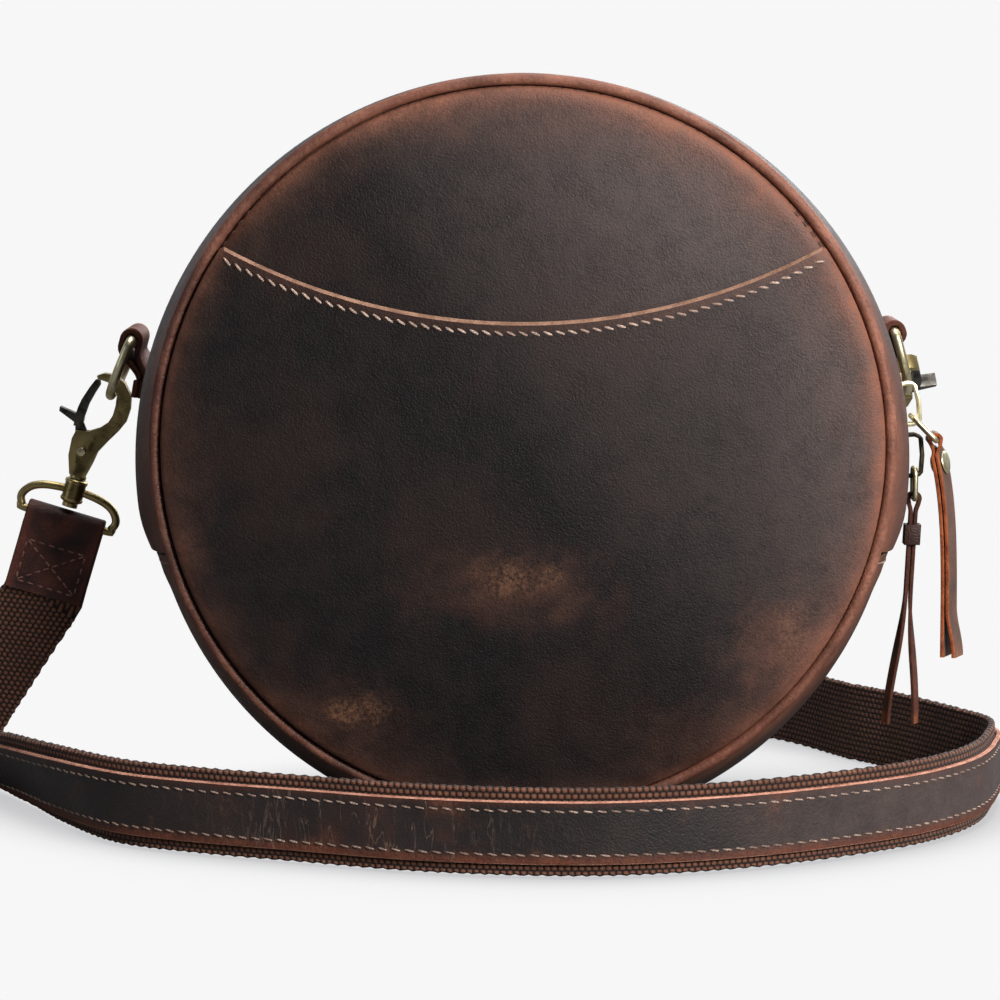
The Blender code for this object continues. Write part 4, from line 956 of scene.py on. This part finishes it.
# ---------------------------------------------------------------- ring tabs and D-rings
def frame_matrix(origin, x_axis, y_axis, z_axis):
    result = Matrix((x_axis, y_axis, z_axis)).transposed().to_4x4()
    result.translation = origin
    return result


def ring_arc(turn):
    """The D-ring's round side, at an angle from its middle line."""
    return vec(ring_half_width * cos(turn), ring_shoulder + (ring_length - ring_shoulder) * sin(turn), 0)


tab_wrap = ring_radius + gap + ring_tab_leather / 2
tab_rest = gap + ring_tab_leather / 2


def tab_marks(points, run, across):
    cloud = ripple(points, 0.005, 3.0)
    edge = smooth((np.abs(across) * 1000 - 8.5) / 2.6)
    return {"wear": 0.3 + 0.5 * cloud + 0.45 * edge, "scuff": 0.3 * cloud + 0.15}


def ring_tab(suffix, angle, stand, length):
    down = -1 if cos(angle) > 0 else 1
    centres, broads, places = [], [], []

    def add(run, height, settle):
        turn = angle + down * run / zip_radius
        centres.append(Vector(polar(turn, float(skin(turn, tab_depth)) + height, tab_depth)))
        slope = float(skin(turn, tab_depth + gap) - skin(turn, tab_depth - gap)) / (2 * gap)
        broads.append((vec(0, 1, 0) + settle * slope * radial(turn)).normalized())

    def leg(shares, first, last):
        for share in shares.tolist():
            settle = float(smooth((share - 0.15) / 0.5))
            add(share * length, mix(first, last, settle), settle)

    leg(np.linspace(1, 0.1, 19), stand - tab_wrap, tab_rest)
    for turn in fold_turns(16):
        add(-tab_wrap * sin(turn), stand + tab_wrap * cos(turn), 0)
    leg(np.linspace(0.1, 1, 19), stand + tab_wrap, tab_rest + ring_tab_leather + gap)
    band("loop_tab_" + suffix, centres, broads, ring_tab_width, ring_tab_leather, ["loop_hide", "dark_cut"],
         ["ring_tab_" + suffix], marks=tab_marks, columns=14, bevel=0.0004)
    # a row of stitches along each side and across the end
    c, along, b, face, run = band_frames(centres, broads)
    row = ring_tab_width / 2 - 0.0022
    for side in (-1, 1):
        for k in range(len(c) - 15, len(c) - 1, 4):
            places.append((c[k] + side * row * b[k] + ring_tab_leather / 2 * face[k], along[k], face[k]))
    k = len(c) - 2
    for side in np.linspace(-1, 1, 9)[1:-1]:
        places.append((c[k - 1] + side * row * b[k] + ring_tab_leather / 2 * face[k], b[k], face[k]))
    stitches("loop_tab_stitches_" + suffix, places, "tab_thread", 0.0019, 0.00024)


def d_ring(suffix, angle, stand, turn):
    """The D-ring's wire. Returns its place, with the ring's width along x and its length along y."""
    path = corner(ring_half_width - ring_corner, ring_corner, ring_corner, -90)
    path += [ring_arc(pi * step / 40) for step in range(41)]
    path += corner(-ring_half_width + ring_corner, ring_corner, ring_corner, 180)
    middle = Vector(polar(angle, float(skin(angle, tab_depth)) + stand, tab_depth))
    across = vec(0, 1, 0)
    place = frame_matrix(middle, across, radial(turn), across.cross(radial(turn)))
    tube("dee_" + suffix, path, vec(0, 0, 1), ring_radius, "pale_brass_plate", ["d_ring_" + suffix],
         24, "d_ring_" + suffix, place)
    return place


ring_tab("left", left_ring_angle, left_ring_stand, left_tab_length)
ring_tab("right", right_ring_angle, right_ring_stand, right_tab_length)
left_ring_place = d_ring("left", left_ring_angle, left_ring_stand, left_ring_turn)
right_ring_place = d_ring("right", right_ring_angle, right_ring_stand, right_ring_turn)

# ---------------------------------------------------------------- snap hooks
for suffix in ("left", "right"):
    for piece, node, look, body, slot, width, segments in (
            ("hook_", "snap_hook_", "antique_brass_plate", "hook_", "antique_brass", 0.001, 4),
            ("thumb_lever_", "snap_trigger_", "dull_nickel_plate", "trigger_", "antique_brass", 0.0005, 3),
            ("lever_pin_", "trigger_pin_", "pale_brass_plate", "hook_", "antique_brass", 0.00015, 2),
            ("lever_spring_", "trigger_spring_", "spring_steel_plate", "hook_", "spring_steel", 0.0001, 1)):
        soften(piece + suffix, node + suffix, look, body + suffix, width, segments)


def squared(hint, up):
    return (hint - hint.dot(up) * up).normalized()


def snap_place(eye, eye_shares, up, x_hint):
    x_axis = squared(x_hint, up)
    origin = eye - snap_length * (eye_shares[0] * x_axis + eye_shares[1] * up)
    return frame_matrix(origin, x_axis, up.cross(x_axis), up)


left_up, right_up = vec(0.29, 0, 0.957).normalized(), vec(0.1, -0.85, 0.52).normalized()
left_snap = snap_place(left_ring_place @ vec(0, ring_length, 0), (0.071, 0.83), left_up, vec(1, 0, 0))
right_eye = right_ring_place @ ring_arc(pi * right_hook_share / 2)
right_hook = snap_place(right_eye, (0.058, 0.818), right_up, vec(-0.946, -0.24, 0))
right_x = squared(vec(0, 0, 1), right_up)
right_snap = frame_matrix(right_hook.translation, right_x, right_up.cross(right_x), right_up)


def snap_ring(suffix, place, wire_sides=18, barrel_sides=32):
    """Barrel with a collar at each end, and the oval wire loop that runs into its sides."""
    shape = ((0.2, 0.0), (0.6, 0.09), (0.85, 0.28), (0.98, 0.6), (0.93, 0.88), (0.8, 1.0))
    right = [vec(x * snap_ring_half_width, 0, -z * snap_ring_drop) for x, z in shape]
    left = [vec(-p.x, 0, p.z) for p in reversed(right)]
    path = [place @ p for p in curve(right + left, [8] * len(right + left), True)]
    side, flat, axis = [(place.to_3x3() @ Vector(way)).normalized() for way in ((1, 0, 0), (0, 1, 0), (0, 0, 1))]
    points = tube_points(path, flat, snap_ring_wire / 2, wire_sides)
    r, half, bore = barrel_diameter / 2, barrel_height / 2, swivel_shaft / 2 + gap
    profile = [(-half, bore), (-half, r - 0.0007), (-half + 0.0003, r - 0.0002), (-half + 0.0007, r),
               (-half + 0.0012, r), (-half + 0.0013, r - 0.00025), (half - 0.0013, r - 0.00025), (half - 0.0012, r),
               (half - 0.0006, r), (half - 0.0002, r - 0.0002), (half, r - 0.0007), (half, bore)]
    faces = grid_faces(len(path), wire_sides, True)
    faces += shifted(grid_faces(len(profile), barrel_sides, True), len(points))
    for height, radius in profile:
        points += circle(place.translation + height * axis, radius, side, flat, barrel_sides)
    build("snap_loop_" + suffix, points, faces, ["antique_brass_plate"], ["snap_ring_" + suffix],
          sharp=50)


snap_ring("left", left_snap)
snap_ring("right", right_snap)

# ---------------------------------------------------------------- strap
strap_wrap = snap_ring_wire / 2 + gap + strap_tab_leather / 2
strap_layer = strap_webbing_thickness / 2 + gap + strap_tab_leather / 2


def strap_end(place):
    """The bar of a snap ring, the strap's direction away from it, and the direction across the strap."""
    rotation = place.to_3x3()
    return place @ vec(0, 0, -snap_ring_drop), rotation @ vec(0, 0, -1), rotation @ vec(1, 0, 0)


def strap_tab(suffix, bar, down, across):
    face = across.cross(down)
    shares = np.linspace(1, 0.1, 25).tolist()

    def leg(share, side):
        height = float(mix(strap_wrap, strap_layer, smooth(share / 0.3)))
        return bar + share * strap_tab_length * down + side * height * face

    centres = [leg(share, -1) for share in shares]
    centres += [bar + strap_wrap * (cos(turn) * face - sin(turn) * down) for turn in fold_turns(16)]
    centres += [leg(share, 1) for share in shares[::-1]]
    band("end_tab_" + suffix, centres, [across] * len(centres), strap_tab_width, strap_tab_leather,
         ["tab_hide", "dark_cut"], ["strap_tab_" + suffix], marks=tab_marks, columns=16, bevel=0.0004)
    # box stitching with a cross on both faces
    wide, low, high, pitch = strap_tab_width / 2 - 0.0028, 0.0085, strap_tab_length - 0.0025, 0.0028
    corners = [(-wide, low), (wide, low), (wide, high), (-wide, high)]
    lines = [(corners[k], corners[(k + 1) % 4]) for k in range(4)] + [corners[::2], corners[1::2]]
    places = []
    for out in (-face, face):
        for (x0, d0), (x1, d1) in lines:
            count = max(2, round(hypot(x1 - x0, d1 - d0) / pitch))
            for share in ((k + 0.5) / count for k in range(count)):
                places.append((bar + mix(d0, d1, share) * down + mix(x0, x1, share) * across
                               + (strap_layer + strap_tab_leather / 2) * out,
                               (x1 - x0) * across + (d1 - d0) * down, out))
    stitches("end_tab_stitches_" + suffix, places, "tab_thread", 0.0021, 0.0003)


left_bar, left_down, left_across = strap_end(left_snap)
right_bar, right_down, right_across = strap_end(right_snap)
strap_tab("left", left_bar, left_down, left_across)
strap_tab("right", right_bar, right_down, right_across)

# The strap's route, in shares of its reach: x, y, z, and the direction across the strap there.
# On the table the strap stands on its edge, so only x and y are given.
strap_reach = 1.68 * panel_radius
standing_height = 0.0712
from_left = ((-0.882, 0.171, 0.271, -0.92, 0, 0.4), (-0.929, 0.206, 0.2, -0.86, 0, 0.5),
             (-0.971, 0.224, 0.135, -0.78, -0.05, 0.62), (-0.988, 0.188, 0.094, -0.68, -0.1, 0.73),
             (-0.965, 0.112, 0.073, -0.58, -0.1, 0.81), (-0.912, 0.024, 0.0675, -0.5, -0.1, 0.86),
             (-0.853, -0.071, 0.0692, -0.38, -0.08, 0.92), (-0.768, -0.221, 0.0715, -0.2, -0.04, 0.98))
on_table = ((-0.653, -0.371), (-0.512, -0.453), (-0.353, -0.518), (-0.194, -0.582), (-0.035, -0.618),
            (0.118, -0.626), (0.271, -0.594), (0.432, -0.524), (0.6, -0.412), (0.694, -0.312), (0.753, -0.209),
            (0.788, -0.094), (0.806, 0.029), (0.759, 0.141), (0.676, 0.294), (0.597, 0.406), (0.482, 0.606),
            (0.294, 0.765), (0.059, 0.841), (-0.147, 0.8))
to_right = ((-0.224, 0.682, 0.073, 0, 0, 1), (-0.129, 0.576, 0.088, 0, 0, 1), (0.059, 0.556, 0.125, -0.1, 0, 1),
            (0.265, 0.58, 0.212, -0.25, 0, 0.95), (0.459, 0.624, 0.33, -0.35, 0, 0.9),
            (0.6, 0.622, 0.45, -0.25, 0.35, 0.9))
route = from_left + tuple((x, y, standing_height, 0, 0, 1) for x, y in on_table) + to_right
leave, tucked_in, fine_step = strap_tab_length + running_gap, 0.0035, 0.0012
middles = [left_bar + leave * left_down] + [Vector(row[:3]) * strap_reach for row in route]
middles += [right_bar + leave * right_down]
broads = [-left_across] + [Vector(row[3:]) for row in route] + [right_across]
route_steps = [max(2, ceil(a.angle(b) / radians(3))) for a, b in zip(broads, broads[1:])]
counts = [count * max(2, round((b - a).length / count / fine_step))
          for count, a, b in zip(route_steps, middles, middles[1:])]
strap_path = [left_bar + tucked_in * left_down] + curve(middles, counts) + [right_bar + tucked_in * right_down]
strap_broads = [-left_across] + curve(broads, counts) + [right_across]
lead, tail = 2 * counts[0] // route_steps[0], 2 * counts[-1] // route_steps[-1]


def webbing_swell(run, across, side):
    return side * 0.00012 * np.cos(across * 1000 / 12 * 1.5)


def webbing_edge(run, across):
    return 0.00022 * np.sin(run / 0.0018 * tau + np.sign(across) * 1.2)


band("strap_web", strap_path, strap_broads, strap_width - 0.0004, strap_webbing_thickness - 0.0002,
     ["webbing", "webbing"], ["strap_webbing"], columns=14, bevel=0.0006, swell=webbing_swell,
     scallop=webbing_edge)


def strap_marks(points, run, across):
    cloud = ripple(points, 0.011, 7.0) * 0.6 + ripple(points, 0.004, 2.0) * 0.35
    edge = smooth((np.abs(across) * 1000 - 6.2) / 2.2)
    lower = smooth((-across * 1000 - 5.4) / 1.6)
    patch = smooth(ripple(points, 0.04, 12.0) * 1.5)
    crack = np.exp(-((points[..., 0] + 0.045) / 0.034) ** 2) * (points[..., 1] < 0) + 0.35 * patch
    # Painted sheen rising towards +x, where the key lamp falls, over patchy wax bloom.
    haze = 0.12 + 0.25 * ripple(points, 0.05, 3.0) + 0.7 * smooth((points[..., 0] - 0.04) / 0.09)
    return {"wear": edge * (0.35 + 0.4 * cloud) + 0.55 * lower + 0.35 * patch * smooth(cloud * 2 + 0.2),
            "scuff": 0.25 * lower + 0.2 * (cloud > 0.3), "haze": haze, "crack": crack}


def strap_crease(run, across, side):
    """Shallow cross creases, close together in places."""
    out = np.zeros(np.broadcast(run, across).shape)
    state = np.random.default_rng(5)
    total = float(run[-1, 0])
    for _ in range(46):
        centre = state.uniform(0.02, total - 0.02)
        lean = state.uniform(-0.25, 0.25)
        depth = state.uniform(0.00003, 0.00012)
        out = out - depth * np.exp(-((run - centre - lean * across) / 0.0007) ** 2)
    return out * (side > 0)


leather_part = slice(1 + lead, len(strap_path) - 1 - tail)
leather_path, leather_broads = strap_path[leather_part], strap_broads[leather_part]
leather_offset = strap_webbing_thickness / 2 + running_gap + strap_leather_thickness / 2 - 0.0002
band("strap_hide_strip", leather_path, leather_broads, strap_leather_width, strap_leather_thickness,
     ["strap_hide", "pink_cut"], ["strap_leather"], offset=leather_offset, marks=strap_marks,
     columns=18, bevel=0.00035, swell=strap_crease)


def row_on_band(centres, broads, across, height, pitch, inset=0.003):
    """Places at an even pitch along a band, at a distance from its middle line."""
    c, along, b, face, run = band_frames(centres, broads)
    line = c + across * b + height * face
    length = np.concatenate([[0], np.cumsum(np.linalg.norm(np.diff(line, axis=0), axis=1))])
    places = []
    for k in range(int((length[-1] - 2 * inset) / pitch) + 1):
        at = inset + k * pitch
        i = min(max(int(np.searchsorted(length, at)) - 1, 0), len(length) - 2)
        share = (at - length[i]) / max(length[i + 1] - length[i], 1e-9)
        places.append([mix(way[i], way[i + 1], share) for way in (line, along, face)])
    return places


for label, across in (("upper", 0.0059), ("lower", -0.0059)):
    places = row_on_band(leather_path, leather_broads, across, leather_offset + strap_leather_thickness / 2, 0.00376)
    stitches("strap_stitches_" + label, places, "strap_thread", 0.003, 0.0003, slant=-0.16)

# ---------------------------------------------------------------- stitches on the body
# row below the pocket's mouth
row_radius = pocket_mouth_radius + 0.0032
half_turn = asin((corner_x - 0.0016) / row_radius)
count = int(2 * half_turn * row_radius / 0.0034)
places = []
for turn in (mix(-half_turn, half_turn, k / count) for k in range(count + 1)):
    x, z = row_radius * sin(turn), mouth_centre - row_radius * cos(turn)
    share = hypot(x, z - panel_axis_height) / panel_radius
    if share <= 0.985:
        tilt = float(panel_face(min(share + 0.002, 1)) - panel_face(share)) / (0.002 * panel_radius)
        tilt /= max(share * panel_radius, 1e-6)
        places.append((vec(x, -float(panel_face(share)) - pocket_lift, z), radial(turn),
                       vec(-tilt * x, -1, -tilt * (z - panel_axis_height))))
stitches("pocket_stitches", places, "pale_thread", 0.0031, 0.0004, slant=-0.4)

# rows in the groove between each panel and its rim, and rows beside the zip
groove_radius = panel_radius - 0.0003
row_depth = strip_edge + 0.0024
first, last = radians(-12), radians(192)
for name, side in both_sides:
    places = []
    count = int(tau * groove_radius / 0.0036)
    for turn in (tau * k / count for k in range(count)):
        x, z = groove_radius * cos(turn), groove_radius * sin(turn)
        on_pocket = panel_axis_height + z < pocket_mouth_height + 0.03 and side < 0
        depth = skived_front + (pocket_lift if on_pocket else 0) + 0.0001
        places.append((vec(x, side * depth, panel_axis_height + z), tangent(turn),
                       vec(cos(turn) * 0.6, side, sin(turn) * 0.6)))
    stitches("rim_stitches_" + name, places, "dark_thread", 0.0021, 0.00024)
    places = []
    count = int((last - first) * zip_radius / 0.0033)
    for turn in (mix(first, last, k / count) for k in range(count + 1)):
        radius = float(skin(turn, row_depth)) - float(lap(turn)) * lap_drop
        places.append((Vector(polar(turn, radius, side * row_depth)), tangent(turn), radial(turn)))
    stitches("zip_stitches_" + name, places, "dark_thread", 0.0022, 0.00022, slant=0.2, sink=0.62)

# rows across the ends of the base gusset
row_inset, probe = radians(1.2), 0.0005
for name, turn in (("right", lap_angle - row_inset), ("left", pi - lap_angle + row_inset)):
    places = []
    for depth in np.arange(-0.031, 0.0311, 0.0031):
        radius = float(skin(turn, depth)) - skived_end(turn)
        slope = float(skin(turn, depth + probe) - skin(turn, depth - probe)) / (2 * probe)
        places.append((Vector(polar(turn, radius, depth)), vec(0, 1, 0) + slope * radial(turn),
                       radial(turn) - slope * vec(0, 1, 0)))
    stitches("base_end_stitches_" + name, places, "pale_thread", 0.0021, 0.00026, slant=0.2)

# ---------------------------------------------------------------- floor, light and camera
floor_mesh = bpy.data.meshes.new("floor")
floor_mesh.from_pydata([(x, y, -0.0002) for x, y in ((-9, -9), (9, -9), (9, 60), (-9, 60))], [], [(0, 1, 2, 3)])
floor = add_object("floor", floor_mesh)
t = material("floor_paper")
for key, value in (("Base Color", (0.16, 0.16, 0.16, 1)), ("Roughness", 0.9), ("Specular IOR Level", 0.0)):
    t.shader.inputs[key].default_value = value
# For the camera the floor is an even white with a painted contact shadow: its emission darkens towards grey where
# ambient occlusion finds the bag close.
near = t.node("AmbientOcclusion", {"Distance": 0.05}, samples=8)
seen = t.node("Emission")
t.put(seen.inputs["Color"], t.blend(t.span(near.outputs["AO"], 0.3, 0.95), rgb(196, 196, 198), rgb(247, 247, 247)))
t.put(t.tree.nodes["Material Output"].inputs["Surface"], t.seen_or_lit(t.shader, seen))
floor_mesh.materials.append(finishes["floor_paper"])

world = bpy.data.worlds.new("studio")
bpy.context.scene.world = world
world.use_nodes = True
t = Tree(world.node_tree)
t.tree.nodes.clear()
out = t.node("OutputWorld")
seen, lit = t.node("Background", {"Color": rgb(247, 247, 247)}), t.node("Background", {"Color": (0.8, 0.84, 0.9, 1)})
# the light is dim in front of the bag and brighter behind it
ahead = t.split(t.coords("Generated"))[1]
behind = t.node("MapRange", {"Value": ahead, 1: 0.0, 2: 0.8, 3: 0.06, 4: 0.75})
t.put(lit.inputs["Strength"], behind.outputs[0])
t.put(out.inputs["Surface"], t.seen_or_lit(lit, seen))

for name, place, aim, size, power, colour in (
        ("key", (0.8, -1.15, 0.7), (0.03, 0, 0.1), (0.5, 0.5), 30, (1, 0.98, 0.96)),
        ("top", (0.1, 0.05, 1.1), (0, 0, 0.1), (0.8, 0.5), 9, (1, 1, 1)),
        ("side", (-1.0, -0.5, 0.35), (0, 0, 0.1), (0.4, 0.6), 0.8, (0.96, 0.98, 1)),
        ("rear", (0.5, 0.9, 0.7), (0, 0, 0.1), (0.7, 0.7), 6, (1, 1, 1))):
    light = bpy.data.lights.new(name, "AREA")
    light.shape, light.size, light.size_y = "RECTANGLE", size[0], size[1]
    light.energy, light.color = power, colour
    lamp = add_object(name, light)
    lamp.location = place
    lamp.rotation_euler = (Vector(aim) - Vector(place)).to_track_quat("-Z", "Y").to_euler()

focal_pixels, photo_pixels, camera_tilt = 3815, 1000, radians(6.35)
camera_data = bpy.data.cameras.new("camera")
camera = add_object("camera", camera_data)
camera_data.sensor_width = 36
camera_data.lens = focal_pixels / photo_pixels * 36
camera_data.clip_end = 100
camera.location = (-0.0064, -1.10, 0.211)
camera.rotation_euler = (pi / 2 - camera_tilt, 0, 0)
bpy.context.scene.camera = camera
bpy.context.scene.view_settings.view_transform = "Standard"
